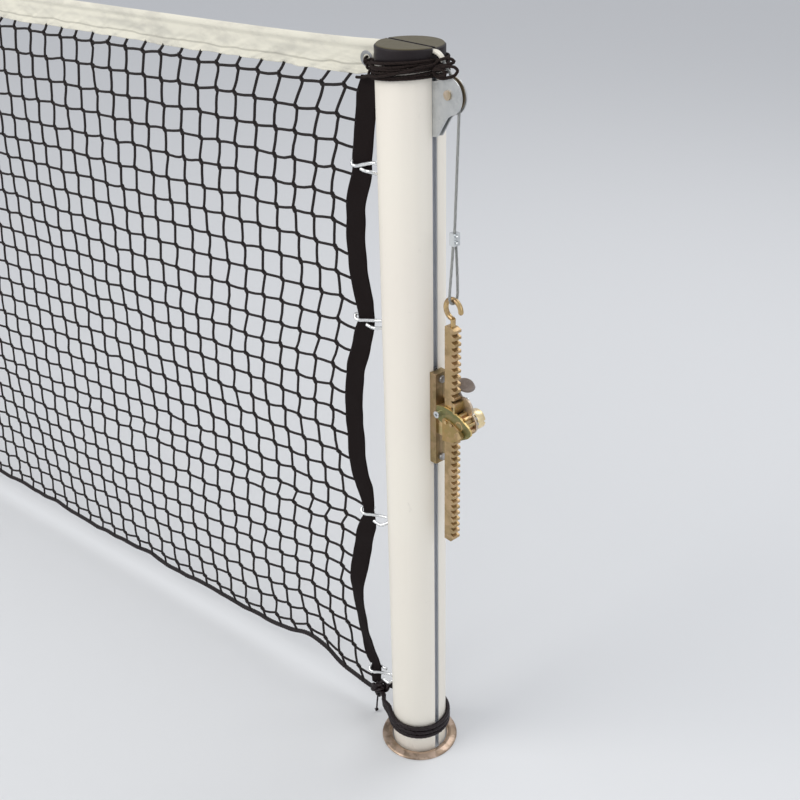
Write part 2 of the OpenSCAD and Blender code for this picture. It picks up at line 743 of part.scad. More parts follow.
// Steel cable over the sheave, from the straight run to the sheath's end
sheath_end = [post_r + 15.5, 0, cable_z - 1.5];
sheath_away = sheath_end - [sheave_out, 0, sheave_z];
wrap_angle = atan2(sheath_away[2], sheath_away[0]) - acos(wrap_r / norm(sheath_away));
module sheave_cable() {
    wrap = [for (i = [1:5]) let (a = wrap_angle * i / 5)
        [sheave_out + wrap_r * cos(a), 0, sheave_z + wrap_r * sin(a)]];
    last_pull = unit(sheath_end - wrap[4]);
    cord(concat([[run_top_out, 0, sheave_z], [run_top_out, 0, sheave_z + 1]], wrap, [sheath_end - 0.6 * last_pull]),
        cable_d, 12);
}

// A point of the near post's frame, as seen from the net
function from_near(p) = [
    p[0] * cos(post_turn) + p[1] * sin(post_turn), p[1] * cos(post_turn) - p[0] * sin(post_turn), p[2]
];

// Sheathed cable through the headband and the cap's channel and down over the cap's edge
module net_cable() {
    over_edge = smooth([
        [post_r + 1, 0, cable_z + cable_rise], [post_r + 8.5, 0, cable_z + 5.4], [post_r + 12.5, 0, cable_z + 2.6], sheath_end
    ], 3);
    near_part = concat(cap_line, [for (i = [1:len(over_edge) - 1]) over_edge[i]]);
    cord(concat([[far_x - post_r - 3, net_y, cable_z], [-band_end - 6, net_y, cable_z]],
        [for (p = near_part) from_near(p)]), sheath_d, 12);
}

// ---------------------------------------------------------------- net

module headband_outline()
    difference() {
        union() {
            translate([0, cable_z]) circle(band_roll / 2);
            translate([-band_t / 2, band_foot]) square([band_t, cable_z - band_foot]);
        }
        translate([0, cable_z]) circle(sheath_d / 2 + fit_gap);
    }

grommet_x = -band_end - 12;
grommet_z = cable_z - 16;

module headband()
    difference() {
        translate([far_x + band_end, net_y, 0]) rotate([90, 0, 90]) linear_extrude(post_span - 2 * band_end) headband_outline();
        for (x = [grommet_x, far_x - grommet_x])
            translate([x, net_y - 5, grommet_z]) rotate([-90, 0, 0]) cylinder(h = 10, d = grommet_hole + 1);
    }

module headband_grommets()
    for (x = [grommet_x, far_x - grommet_x]) translate([x, net_y, grommet_z]) rotate([90, 0, 0]) difference() {
        union() {
            for (s = [0, 1]) mirror([0, 0, s]) translate([0, 0, band_t / 2]) cylinder(h = 0.8, d = grommet_d);
            cylinder(h = band_t, d = grommet_hole + 1, center = true);
        }
        cylinder(h = band_t + 4, d = grommet_hole, center = true);
    }

// Middle of the near side tape, as [x, z] from the headband down to the tape's foot
tape_middle = concat(
    [for (bay = [0:hook_count - 1], i = [0:tape_steps - 1]) let (t = i / tape_steps) [
        tape_turns_x[bay] * (1 - t) + tape_turns_x[bay + 1] * t - tape_bulge[bay] * sin(180 * t),
        tape_turns_z[bay] * (1 - t) + tape_turns_z[bay + 1] * t
    ]],
    [[tape_turns_x[hook_count], tape_turns_z[hook_count]], [tape_turns_x[hook_count], tape_foot]]
);
tape_inner = [for (p = tape_middle) [p[0] - tape_w / 2, p[1]]];
tape_outer = [for (p = tape_middle) [p[0] + tape_w / 2, p[1]]];

// An outline drawn as [x, z], extruded to thickness t about the net's plane
module in_net(t)
    translate([0, net_y + t / 2, 0]) rotate([90, 0, 0]) linear_extrude(t) children();

module side_tape() {
    last = len(tape_middle) - 1;
    difference() {
        in_net(tape_t) polygon(concat(tape_outer, [for (i = [last:-1:0]) tape_inner[i]]));
        for (i = [1:hook_count])
            translate([tape_turns_x[i] - eyelet_in, net_y - 5, tape_turns_z[i]])
                rotate([-90, 0, 0]) cylinder(h = 10, d = hook_wire + 1.4);
    }
}

cord_run = [for (p = corner_run) [p[0], net_bottom + p[1]]];
cord_steps = 3;
edge_gap = 0.1;
panel_lift = bottom_cord_d / 2 + 0.3;

// Openings of the net's plain grid
windows_z = [net_bottom + 46, band_foot - 24];
windows_x = [-band_end - 120, far_x + band_end + 120];
window_w = (windows_x[0] - windows_x[1] - (windows_across - 1) * window_rib) / windows_across;
window_h = (windows_z[1] - windows_z[0] - (windows_up - 1) * window_rib) / windows_up;

module net_windows()
    for (i = [0:windows_across - 1], j = [0:windows_up - 1])
        translate([windows_x[1] + i * (window_w + window_rib), windows_z[0] + j * (window_h + window_rib)])
            square([window_w, window_h]);

module net_panel() {
    foot_line = smooth([for (p = cord_run) [p[0], net_y, p[1]]], cord_steps);
    near_foot = [for (p = foot_line) [p[0], p[2] + panel_lift]];
    far_foot = [for (i = [len(foot_line) - 1:-1:0]) [far_x - foot_line[i][0], foot_line[i][2] + panel_lift]];
    last = len(tape_inner) - 1;
    near_edge = [for (p = tape_inner) [p[0] - edge_gap, p[1]]];
    far_edge_points = [for (i = [last:-1:0]) [far_x - tape_inner[i][0] + edge_gap, tape_inner[i][1]]];
    in_net(net_t) difference() {
        polygon(concat(
            near_edge, [for (i = [len(near_foot) - 1:-1:0]) near_foot[i]],
            [for (i = [len(far_foot) - 1:-1:0]) far_foot[i]], far_edge_points
        ));
        net_windows();
    }
}

module bottom_cord() {
    near_run = [for (i = [len(cord_run) - 1:-1:0]) [cord_run[i][0], net_y, cord_run[i][1]]];
    far_run = [for (p = cord_run) [far_x - p[0], net_y, p[1]]];
    cord(concat(smooth(near_run, cord_steps), smooth(far_run, cord_steps)), bottom_cord_d);
}

// ---------------------------------------------------------------- side hooks

eye_r = 5;
eye_wire = 3;
eye_out = post_r + 11;

module groove_hook(z) {
    translate([-eye_out, 0, z]) rotate([90, 0, 0]) rotate_extrude() translate([eye_r, 0]) circle(d = eye_wire, $fn = 24);
    translate([-eye_out + eye_r + 0.6, 0, z]) rotate([0, 90, 0]) cylinder(h = eye_out - eye_r - cavity_out + 0.4, d = 5);
    translate([-cavity_out, -groove_cavity / 2 + 1, z - 8]) cube([groove_depth - 1.5, groove_cavity - 2, 16]);
}

// A long wire link through the tape's eyelet and the groove hook's eye
module s_hook(z, x_tape, x_eye, y_eye) {
    half = 5.2;
    mid = (x_tape + x_eye) / 2;
    mid_y = (net_y + y_eye) / 2;
    cord(smooth([
        [mid - 4, mid_y - half, z - 1.5], [x_tape + 7, net_y - half, z - 1], [x_tape + 1.5, net_y - half + 1.4, z],
        [x_tape, net_y, z], [x_tape + 1.5, net_y + half - 1.4, z], [x_tape + 7, net_y + half, z + 0.6],
        [mid, mid_y + half, z + 1.2], [x_eye - 6, y_eye + half - 1, z + 0.6], [x_eye - 1, y_eye + half - 2.2, z],
        [x_eye, y_eye, z], [x_eye - 1, y_eye - half + 2.2, z - 0.5], [x_eye - 7, y_eye - half + 0.8, z - 1.5]
    ], 2), hook_wire);
}

// Where the wire of a taut link passes through the groove hook's eye and the tape's eyelet
link_eye = eye_out + eye_r - eye_wire / 2 - hook_wire / 2 - 0.05;
link_tape = 0.65 - eyelet_in;

module near_s_hooks()
    for (i = [1:hook_count])
        s_hook(tape_turns_z[i], tape_turns_x[i] + link_tape, -link_eye * cos(post_turn), link_eye * sin(post_turn));

module far_s_hooks()
    far_edge() for (i = [1:hook_count]) s_hook(tape_turns_z[i], tape_turns_x[i] + link_tape, -link_eye, net_y);

// ---------------------------------------------------------------- lashings

module top_lashing() {
    h = top_turns * top_cord_d;
    inner = post_r + 0.8;
    translate([0, 0, top_lashing_z]) rotate([0, -top_lashing_tilt, 0]) rotate_extrude() polygon([
        [inner, -h / 2 + 1], [inner + 1, -h / 2], [inner + top_cord_d - 1, -h / 2], [inner + top_cord_d, -h / 2 + 1],
        [inner + top_cord_d, h / 2 - 1], [inner + top_cord_d - 1, h / 2], [inner + 1, h / 2], [inner, h / 2 - 1]
    ]);
}

// The bow's long flat loop and its round loop, beside the pulley
module top_bow() {
    y = -sheave_w / 2 - pulley_cheek - top_cord_d / 2 - 1.5;
    x = sqrt((post_r + 0.8 + top_cord_d) ^ 2 - y ^ 2) + top_cord_d / 2 - 0.7;
    z = top_lashing_z + 4;
    cord(smooth([
        [x, y, z], [x + 8, y, z + 8], [x + 17, y, z + 13.5], [x + 25, y, z + 12.5],
        [x + 23, y - 1, z + 8], [x + 14, y - 2, z + 4.5], [x + 4, y - 3.5, z - 1.5], [x + 13, y - 5.5, z + 1],
        [x + 24, y - 4, z + 3], [x + 32, y - 1.5, z + 1.5], [x + 32, y - 1, z - 5], [x + 24, y - 1.5, z - 9],
        [x + 13, y - 1.5, z - 9.5], [x + 3, y - 1, z - 8]
    ], 4), top_cord_d);
}

module near_top_lashing()
    near_frame() top_lashing();

module bottom_lashing() {
    h = bottom_turns * bottom_lashing_d;
    inner = post_r + 0.3;
    outer = inner + bottom_lashing_d;
    translate([0, 0, bottom_lashing_z]) rotate_extrude() polygon([
        [inner, 2], [inner + 2, 0], [outer - 2, 0], [outer, 2], [outer, h - 2], [outer - 2, h], [inner + 2, h], [inner, h - 2]
    ]);
}

// The cord's end, from the net's corner to the turns on the post, and the short end that hangs
module bottom_tail(post_y) {
    x = tape_turns_x[hook_count] + tape_w / 2 + 6.5;
    outer = post_r + bottom_lashing_d + 0.9 + bottom_lashing_d / 2;
    z = bottom_lashing_z + 8;
    cord(smooth([
        [x - 2, 2, z - 14], [x - 1, -1, z - 4], [x, -3, z + 4], [x + 6, -7, z + 7],
        [outer * cos(206), outer * sin(206) + post_y, z + 4], [outer * cos(217), outer * sin(217) + post_y, z + 3],
        [outer * cos(229), outer * sin(229) + post_y, z + 1], [outer * cos(240), outer * sin(240) + post_y, z]
    ], 3), bottom_lashing_d);
}

// ---------------------------------------------------------------- far cable anchor

module far_cable_hook() {
    h = 40;
    translate([cavity_in + 1.5, -groove_cavity / 2 + 1, anchor_z - h / 2]) cube([groove_depth - 1.5, groove_cavity - 2, h]);
    translate([cavity_out - tiny, -groove_mouth / 2 + fit_gap, anchor_z - h / 2])
        cube([lip + 0.2 + 2 * tiny, groove_mouth - 2 * fit_gap, h]);
    translate([post_r + 0.2, -bar_w / 2, anchor_z - h / 2]) cube([4, bar_w, h]);
    translate([post_r + 4, 0, anchor_z]) rotate([0, 90, 0]) cylinder(h = 11, d = 8);
    translate([post_r + 15, 0, anchor_z]) rotate([0, 90, 0]) cylinder(h = 3, d = 15);
}

module far_cable_end() {
    x = post_r + 9.5;
    clip_foot = anchor_z + 34;
    cord(smooth([
        [x, -2.2, clip_foot], [x, -3, clip_foot - 6], [x, -6.4, anchor_z + 14], [x, -6, anchor_z],
        [x, -4.2, anchor_z - 4.4], [x, 0, anchor_z - 6], [x, 4.2, anchor_z - 4.4], [x, 6, anchor_z],
        [x, 6.4, anchor_z + 14], [x, 3, clip_foot - 6], [x, 2.2, clip_foot]
    ], 3), cable_d);
    translate([x - 3.4, -4.6, clip_foot]) cube([6.8, 9.2, 14]);
    cord(concat([[x, 0, clip_foot + 14]], smooth([
        [x, 0, clip_foot + 17], [post_r + 8, 0, cable_z - 6.5], [post_r + 6, 0, cable_z - 1.6], [post_r + 3, 0, cable_z]
    ], 3)), cable_d);
}

// ---------------------------------------------------------------- the nodes

color(coat) near_frame() post_profile();  // near_post_profile
color(cap_black) near_frame() post_cap(cap_line);  // near_post_cap
color(steel) ground_sleeve();  // near_ground_sleeve
color(brass) floor_ring();  // near_floor_ring
color(zinc) near_frame() pulley_bracket();
color(steel) near_frame() pulley_axle();
color(brass) near_frame() sheave();
color(yellow_zinc) near_frame() base_bar();
color(zinc) near_frame() base_bar_screws();
color(zinc) near_frame() base_bar_t_nuts();
color(yellow_zinc) near_frame() rack_guide();
color(yellow_zinc) near_frame() near_cheek();
color(yellow_zinc) near_frame() far_cheek();
color(yellow_zinc) near_frame() bridge_plate();
color(yellow_zinc) near_frame() cover_plate();
color(brass) near_frame() cover_screws();
color(zinc) near_frame() cheek_screws();
color(brass) near_frame() shaft_bushes();
color(steel) near_frame() pinion_shaft();
color(yellow_zinc) near_frame() pinion();
color(steel) near_frame() ratchet_wheel();
color(yellow_zinc) near_frame() crank_coupling();
color(dark_grip) near_frame() pawl();
color(zinc) near_frame() pawl_pin();
color(steel) near_frame() pawl_spring();
color(yellow_zinc) near_frame() rack();
color(yellow_zinc) near_frame() rack_hook();
color(steel) near_frame() cable_loop();
color(zinc) near_frame() wire_clip();
color(steel) near_frame() cable_run();
color(steel) near_frame() sheave_cable();
color(canvas) net_cable();
color(canvas) headband();
color(cord_black) net_panel();
color(cord_black) side_tape();  // near_side_tape
color(cord_black) far_edge() side_tape();  // far_side_tape
color(cord_black) bottom_cord();
color(zinc) headband_grommets();
color(zinc) near_s_hooks();
color(zinc) far_s_hooks();
color(brass) near_frame() for (i = [1:hook_count]) groove_hook(tape_turns_z[i]);  // near_groove_hooks
color(brass) far_frame() for (i = [1:hook_count]) groove_hook(tape_turns_z[i]);  // far_groove_hooks
color(cord_black) near_top_lashing();
color(cord_black) near_frame() top_bow();  // near_top_bow
color(cord_black) bottom_lashing();  // near_bottom_lashing
color(cord_black) bottom_tail(0);  // near_bottom_tail
color(coat) far_frame() post_profile();  // far_post_profile
color(cap_black) far_frame() post_cap(level_line);  // far_post_cap
color(steel) far_frame() ground_sleeve();  // far_ground_sleeve
color(brass) far_frame() floor_ring();  // far_floor_ring
color(zinc) far_frame() far_cable_hook();
color(steel) far_frame() far_cable_end();
color(cord_black) far_frame() top_lashing();  // far_top_lashing
color(cord_black) far_frame() top_bow();  // far_top_bow
color(cord_black) far_frame() bottom_lashing();  // far_bottom_lashing
color(cord_black) far_edge() bottom_tail(net_y);  // far_bottom_tail
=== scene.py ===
import math
import random

import bmesh
import bpy
import numpy as np
from mathutils import Matrix, Vector


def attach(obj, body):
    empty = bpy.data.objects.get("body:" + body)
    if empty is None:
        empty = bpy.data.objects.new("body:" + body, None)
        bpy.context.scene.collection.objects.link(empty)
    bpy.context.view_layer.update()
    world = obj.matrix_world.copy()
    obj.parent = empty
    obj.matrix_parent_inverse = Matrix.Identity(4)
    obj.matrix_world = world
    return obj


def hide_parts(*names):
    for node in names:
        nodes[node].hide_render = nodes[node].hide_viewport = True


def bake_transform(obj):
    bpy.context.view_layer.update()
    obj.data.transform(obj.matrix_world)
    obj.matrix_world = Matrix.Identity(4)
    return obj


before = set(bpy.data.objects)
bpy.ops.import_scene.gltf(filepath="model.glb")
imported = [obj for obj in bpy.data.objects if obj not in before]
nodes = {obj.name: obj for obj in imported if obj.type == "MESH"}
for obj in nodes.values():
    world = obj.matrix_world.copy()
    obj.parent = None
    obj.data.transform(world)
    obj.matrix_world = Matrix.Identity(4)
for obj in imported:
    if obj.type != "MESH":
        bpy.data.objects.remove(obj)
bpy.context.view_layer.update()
scene = bpy.context.scene
mm = 0.001

# places shared by the pieces, in millimetres and radians, as in the part's source
court = dict(span=12800, postTurn=math.radians(10), netY=7.2064, cableZ=1065)
farX = -court["span"]
netY = court["netY"]
# how far from the near post the soft pieces are made in fine steps
closeReach = 1500


def nearPoint(r, v, z):
    # a point of the near post's own frame: out along the groove, across it, and up
    c, s = math.cos(court["postTurn"]), math.sin(court["postTurn"])
    return (r * c + v * s, v * c - r * s, z)


def farPoint(r, v, z):
    return (farX - r, netY + v, z)


def mirrored(line, far):
    # the same line at the far post
    return [(farX - x, y, z) for x, y, z in line] if far else line


# ---- numbers along lines

def spline(points, steps):
    # a smooth line through the points, with the same number of steps between each pair
    p = np.array(points, float)
    q = np.vstack([2 * p[0] - p[1], p, 2 * p[-1] - p[-2]])
    t = np.linspace(0, 1, steps, endpoint=False)[:, None]
    out = []
    for i in range(len(p) - 1):
        a, b, c, d = q[i:i + 4]
        ka, kb, kc = (max(np.linalg.norm(y - x), 1e-6) ** 0.5 for x, y in ((a, b), (b, c), (c, d)))
        mb = (c - b) + kb * ((b - a) / ka - (c - a) / (ka + kb))
        mc = (c - b) + kb * ((d - c) / kc - (d - b) / (kb + kc))
        out.append(b + mb * t + (3 * (c - b) - 2 * mb - mc) * t ** 2 + (2 * (b - c) + mb + mc) * t ** 3)
    return np.vstack(out + [p[-1:]])


def evenly(line, step):
    # the same line with points a step apart
    line = np.array(line, float)
    length = np.concatenate([[0], np.cumsum(np.linalg.norm(np.diff(line, axis=0), axis=1))])
    count = max(2, int(round(length[-1] / step)) + 1)
    at = np.linspace(0, length[-1], count)
    return np.stack([np.interp(at, length, line[:, k]) for k in range(3)], 1)


def lineLength(line):
    return float(np.linalg.norm(np.diff(np.array(line, float), axis=0), axis=1).sum())


def atHeight(table, z):
    # what a table of (height, value), written from the top down, gives at z
    return np.interp(z, *zip(*table[::-1]))


# ---- meshes

def newMesh(name, verts, faces, material=None, smooth=True, scale=mm, edges=()):
    mesh = bpy.data.meshes.new(name)
    points = [tuple(v) for v in np.array(verts, float) * scale]
    mesh.from_pydata(points, [tuple(e) for e in edges], [tuple(f) for f in faces])
    mesh.validate()
    if smooth:
        mesh.shade_smooth()
    obj = bpy.data.objects.new(name, mesh)
    scene.collection.objects.link(obj)
    if material:
        mesh.materials.append(material)
    return obj


def gridFaces(rows, cols, closeRows=False, closeCols=False):
    i = np.arange(rows if closeRows else rows - 1)[:, None]
    j = np.arange(cols if closeCols else cols - 1)[None, :]
    a = i * cols + j
    b = i * cols + (j + 1) % cols
    c = ((i + 1) % rows) * cols + (j + 1) % cols
    d = ((i + 1) % rows) * cols + j
    return np.stack([a, b, c, d], -1).reshape(-1, 4).tolist()


def placed(obj, body, slot, *stoodFor):
    if stoodFor:
        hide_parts(*stoodFor)
    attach(obj, body)
    return obj


fixed = "posts_and_net"
print("set up")

# ---- one graph builder for shaders and for geometry nodes


class Value:
    def __init__(self, graph, socket):
        self.graph = graph
        self.socket = socket

    def maths(self, kind, other=None, third=None, swap=False):
        a, b = (other, self) if swap else (self, other)
        args = [x for x in (a, b, third) if x is not None]
        return self.graph.node("ShaderNodeMath", {"operation": kind}, *args)

    def __add__(self, other):
        return self.maths("ADD", other)

    __radd__ = __add__

    def __sub__(self, other):
        return self.maths("SUBTRACT", other)

    def __rsub__(self, other):
        return self.maths("SUBTRACT", other, swap=True)

    def __mul__(self, other):
        return self.maths("MULTIPLY", other)

    __rmul__ = __mul__

    def __truediv__(self, other):
        return self.maths("DIVIDE", other)

    def __rtruediv__(self, other):
        return self.maths("DIVIDE", other, swap=True)

    def __pow__(self, other):
        return self.maths("POWER", other)

    def __gt__(self, other):
        return self.maths("GREATER_THAN", other)

    def sin(self):
        return self.maths("SINE")

    def absolute(self):
        return self.maths("ABSOLUTE")

    def band(self, low, high):
        # 0 below low, 1 above high
        smooth = {"interpolation_type": "SMOOTHSTEP"}
        return self.graph.node("ShaderNodeMapRange", smooth, self, low, high, 0.0, 1.0)

    def out(self, name):
        return Value(self.graph, self.socket.node.outputs[name])


class Graph:
    def __init__(self, tree):
        self.tree = tree

    def node(self, kind, props=None, *inputs, **named):
        made = self.tree.nodes.new(kind)
        for key, value in (props or {}).items():
            setattr(made, key, value)
        enabled = [s for s in made.inputs if s.enabled]
        pairs = list(zip(enabled, inputs)) + [(self.socketNamed(made, k), v) for k, v in named.items()]
        for socket, value in pairs:
            if value is None:
                continue
            if isinstance(value, Value):
                self.tree.links.new(value.socket, socket)
            else:
                socket.default_value = value
        shown = [s for s in made.outputs if s.enabled]
        return Value(self, shown[0] if shown else None) if made.outputs else made

    @staticmethod
    def socketNamed(made, name):
        wanted = name.replace("_", " ").lower()
        return next(s for s in made.inputs if s.enabled and s.name.lower() == wanted)

    def mix(self, factor, a, b):
        made = self.tree.nodes.new("ShaderNodeMix")
        made.data_type = "RGBA"
        for socket, value in ((made.inputs[0], factor), (made.inputs[6], a), (made.inputs[7], b)):
            if isinstance(value, Value):
                self.tree.links.new(value.socket, socket)
            elif socket is made.inputs[0]:
                socket.default_value = value
            else:
                socket.default_value = (*value, 1.0)
        return Value(self, made.outputs[2])


class Paint(Graph):
    # a material with one Principled shader
    def __init__(self, name, colour=(0.8, 0.8, 0.8), rough=0.5, metal=0.0, specular=0.5, coat=0.0):
        self.material = bpy.data.materials.new(name)
        self.material.use_nodes = True
        super().__init__(self.material.node_tree)
        self.shader = self.tree.nodes["Principled BSDF"]
        for key, value in (("Base Color", (*colour, 1.0)), ("Roughness", rough), ("Metallic", metal),
                           ("Specular IOR Level", specular), ("Coat Weight", coat)):
            self.shader.inputs[key].default_value = value
        self.material.diffuse_color = (*colour, 1.0)

    def feed(self, socket, value):
        self.tree.links.new(value.socket, self.shader.inputs[socket])
        return self

    def place(self):
        return self.node("ShaderNodeTexCoord").out("Object")

    def axes(self):
        split = self.node("ShaderNodeSeparateXYZ", None, self.place())
        return split.out("X"), split.out("Y"), split.out("Z")

    def scaled(self, x, y, z):
        return self.node("ShaderNodeVectorMath", {"operation": "MULTIPLY"}, self.place(), (x, y, z))

    def attribute(self, name):
        return self.node("ShaderNodeAttribute", {"attribute_name": name}).out("Fac")

    def noise(self, scale, detail=2.0, rough=0.5, at=None):
        grain = dict(Vector=at or self.place(), Scale=scale, Detail=detail, Roughness=rough)
        return self.node("ShaderNodeTexNoise", None, **grain).out("Fac")

    def wandering(self, tones, grain):
        # a colour that drifts between the tones
        tone = tones[0]
        for k, other in enumerate(tones[1:]):
            tone = self.mix(self.noise(grain * (1 + 0.6 * k), 3.0, 0.55).band(0.42, 0.62), tone, other)
        return tone

    def bump(self, height, distance, strength=1.0):
        made = self.node("ShaderNodeBump", None, Height=height, Distance=distance, Strength=strength)
        return self.feed("Normal", made)


def coatPaint(name, centreX, centreY):
    p = Paint(name, (0.83, 0.80, 0.73), rough=0.42, coat=0.15)
    x, y, z = p.axes()
    reach = ((x - centreX * mm) ** 2 + (y - centreY * mm) ** 2) ** 0.5
    inside = 1.0 - reach.band(0.0398, 0.0404)
    broad = p.noise(3.0, 2.0)
    marks = p.noise(70.0, 4.0, 0.65, p.scaled(1.0, 1.0, 0.35)).band(0.66, 0.76)
    rubs = p.noise(160.0, 3.0, 0.6, p.scaled(0.18, 0.18, 1.0)).band(0.68, 0.80)
    low = (0.16 - z).band(0.0, 0.25)
    tone = p.mix(broad.band(0.35, 0.7), (0.95, 0.90, 0.79), (0.925, 0.865, 0.77))
    tone = p.mix(marks * 0.22, tone, (0.55, 0.52, 0.47))
    tone = p.mix(rubs * (0.10 + low * 0.22), tone, (0.42, 0.39, 0.35))
    p.feed("Base Color", p.mix(inside, tone, (0.75, 0.77, 0.80)))
    p.feed("Roughness", 0.38 + broad * 0.12 + marks * 0.15)
    p.bump(p.noise(420.0, 2.0) * 0.5 + p.noise(90.0, 1.0), 0.00008, 0.35)
    return p.material


def capPlastic():
    p = Paint("capPlastic", (0.035, 0.031, 0.030), rough=0.44, specular=0.3)
    x, y, z = p.axes()
    top = z.band(1.0745, 1.0757)
    dust = p.noise(120.0, 4.0, 0.6)
    fromSlit = (x * math.sin(court["postTurn"]) + y * math.cos(court["postTurn"])).absolute()
    # painted light: the top face is painted lighter and browner than the sides where it faces up into the
    # lamps, and it stays dark within about 2 to 3 mm of the slit as painted shade in the slit
    tone = p.mix(top * fromSlit.band(0.0019, 0.0032), (0.012, 0.007, 0.009), (0.115, 0.097, 0.052))
    p.feed("Base Color", p.mix(dust * (0.05 + top * 0.1), tone, (0.10, 0.09, 0.07)))
    p.feed("Roughness", 0.40 + dust * 0.2)
    p.bump(p.noise(900.0, 2.0), 0.00006, 0.4)
    return p.material


def metalPaint(name, tones, rough, metal, grain=60.0, scratch=0.25):
    # a metal whose colour wanders between the tones, with fine scratches
    p = Paint(name, tones[0], rough=rough, metal=metal)
    fine = p.noise(grain * 14, 3.0, 0.6, p.scaled(1.0, 1.0, 0.25))
    p.feed("Base Color", p.wandering(tones, grain))
    p.feed("Roughness", rough + (fine - 0.5) * scratch)
    p.bump(fine + p.noise(grain * 3, 2.0), 0.00004, 0.5)
    return p.material


def platePaint(name, tones, edge, rough):
    # a dull plate whose faces that look away from the post's cross line are painted the bright edge colour, a
    # painted highlight along its edges
    p = Paint(name, tones[0], rough=rough, metal=0.8)
    facing = p.node("ShaderNodeTexCoord").out("Normal")
    crossLine = (math.sin(court["postTurn"]), math.cos(court["postTurn"]), 0.0)
    turned = p.node("ShaderNodeVectorMath", {"operation": "DOT_PRODUCT"}, facing, crossLine).out("Value")
    # painted highlight: faces turned away from the cross line take the bright edge colour
    p.feed("Base Color", p.mix(turned.absolute().band(0.55, 0.9), edge, p.wandering(tones, 45.0)))
    fine = p.noise(600.0, 3.0, 0.6)
    p.feed("Roughness", rough + (fine - 0.5) * 0.25)
    p.bump(fine, 0.00004, 0.5)
    return p.material


def canvasPaint():
    p = Paint("canvas", (0.80, 0.78, 0.70), rough=0.85, specular=0.25)
    x, _, z = p.axes()
    warp = (x * 5200.0).sin() * (z * 5200.0).sin()
    soil = p.noise(38.0, 5.0, 0.6, p.scaled(0.5, 1.0, 1.0))
    seam = p.attribute("seam")
    patches = p.noise(9.0, 3.0, 0.6, p.scaled(1.0, 0.3, 2.5)).band(0.38, 0.62)
    # painted shade: soft patchy darkening in the hollow between the seam and the top roll
    paintedHollowShade = seam.band(2.0, 9.0) * (1.0 - seam.band(13.0, 19.0)) * patches
    # painted shade: a dark line along the sewn crease where the hem pinches in
    seamLineShade = 1.0 - seam.absolute().band(0.4, 2.0)
    tone = p.mix(soil.band(0.45, 0.68) * 0.8, (0.85, 0.82, 0.70), (0.68, 0.655, 0.57))
    tone = p.mix(paintedHollowShade * 0.6, tone, (0.50, 0.49, 0.435))
    tone = p.mix(seamLineShade * 0.55, tone, (0.40, 0.385, 0.33))
    p.feed("Base Color", tone)
    p.bump(warp * 0.4 + p.noise(1600.0, 2.0), 0.00018, 0.6)
    return p.material


def cordPaint(name, dark, light, braids, pitch, depth, rough, glint):
    # a braided cord: around and along come from the sweep, along in metres
    p = Paint(name, dark, rough=rough, specular=glint)
    around = p.attribute("around") * (2 * math.pi * braids)
    along = p.attribute("along") * (2 * math.pi / pitch)
    one = (around + along).sin()
    two = (around - along).sin()
    weave = one.maths("MAXIMUM", two)
    fuzz = p.noise(2600.0, 2.0)
    p.feed("Base Color", p.mix(weave.band(0.2, 1.0) * 0.5 + fuzz * 0.25, dark, light))
    p.bump(weave + fuzz * 0.5, depth, 0.8)
    return p.material


def tapePaint():
    p = Paint("blackTape", (0.010, 0.006, 0.006), rough=0.85, specular=0.16)
    ribs = (p.attribute("across") * 2 * math.pi * 22).sin()
    picks = (p.attribute("along") * 2 * math.pi / 0.0016).sin()
    fuzz = p.noise(700.0, 3.0)
    # the lighter stripes along the ribs are painted highlight stripes; the fuzz adds random lighter fibres
    ribHighlightAndFuzz = ribs.band(0.0, 1.0) * 0.35 + fuzz * 0.3
    p.feed("Base Color", p.mix(ribHighlightAndFuzz, (0.007, 0.004, 0.004), (0.022, 0.014, 0.013)))
    p.bump(ribs * 0.7 + picks * 0.5 + fuzz * 0.6, 0.00022, 0.8)
    return p.material


def wirePaint():
    p = Paint("steelRope", (0.55, 0.56, 0.55), rough=0.45, metal=0.55)
    lay = (p.attribute("around") * (2 * math.pi * 6) + p.attribute("along") * (2 * math.pi / 0.011)).sin()
    wires = (p.attribute("around") * (2 * math.pi * 30) - p.attribute("along") * (2 * math.pi / 0.002)).sin()
    p.feed("Base Color", p.mix(lay.band(-0.9, 0.3), (0.30, 0.30, 0.29), (0.68, 0.69, 0.66)))
    p.bump(lay + wires * 0.3, 0.0004, 0.9)
    return p.material


def sheathPaint():
    p = Paint("cableSheath", (0.86, 0.82, 0.70), rough=0.35, coat=0.2)
    dirt = p.noise(140.0, 3.0)
    p.feed("Base Color", p.mix(dirt.band(0.5, 0.75), (0.87, 0.83, 0.72), (0.70, 0.65, 0.54)))
    return p.material


def gripPaint():
    p = Paint("greyGrip", (0.09, 0.085, 0.088), rough=0.45)
    worn = p.noise(180.0, 3.0)
    p.feed("Base Color", p.mix(worn.band(0.45, 0.7), (0.25, 0.205, 0.18), (0.33, 0.275, 0.24)))
    p.feed("Roughness", 0.35 + worn * 0.25)
    p.bump(p.noise(800.0, 2.0), 0.00008, 0.5)
    return p.material


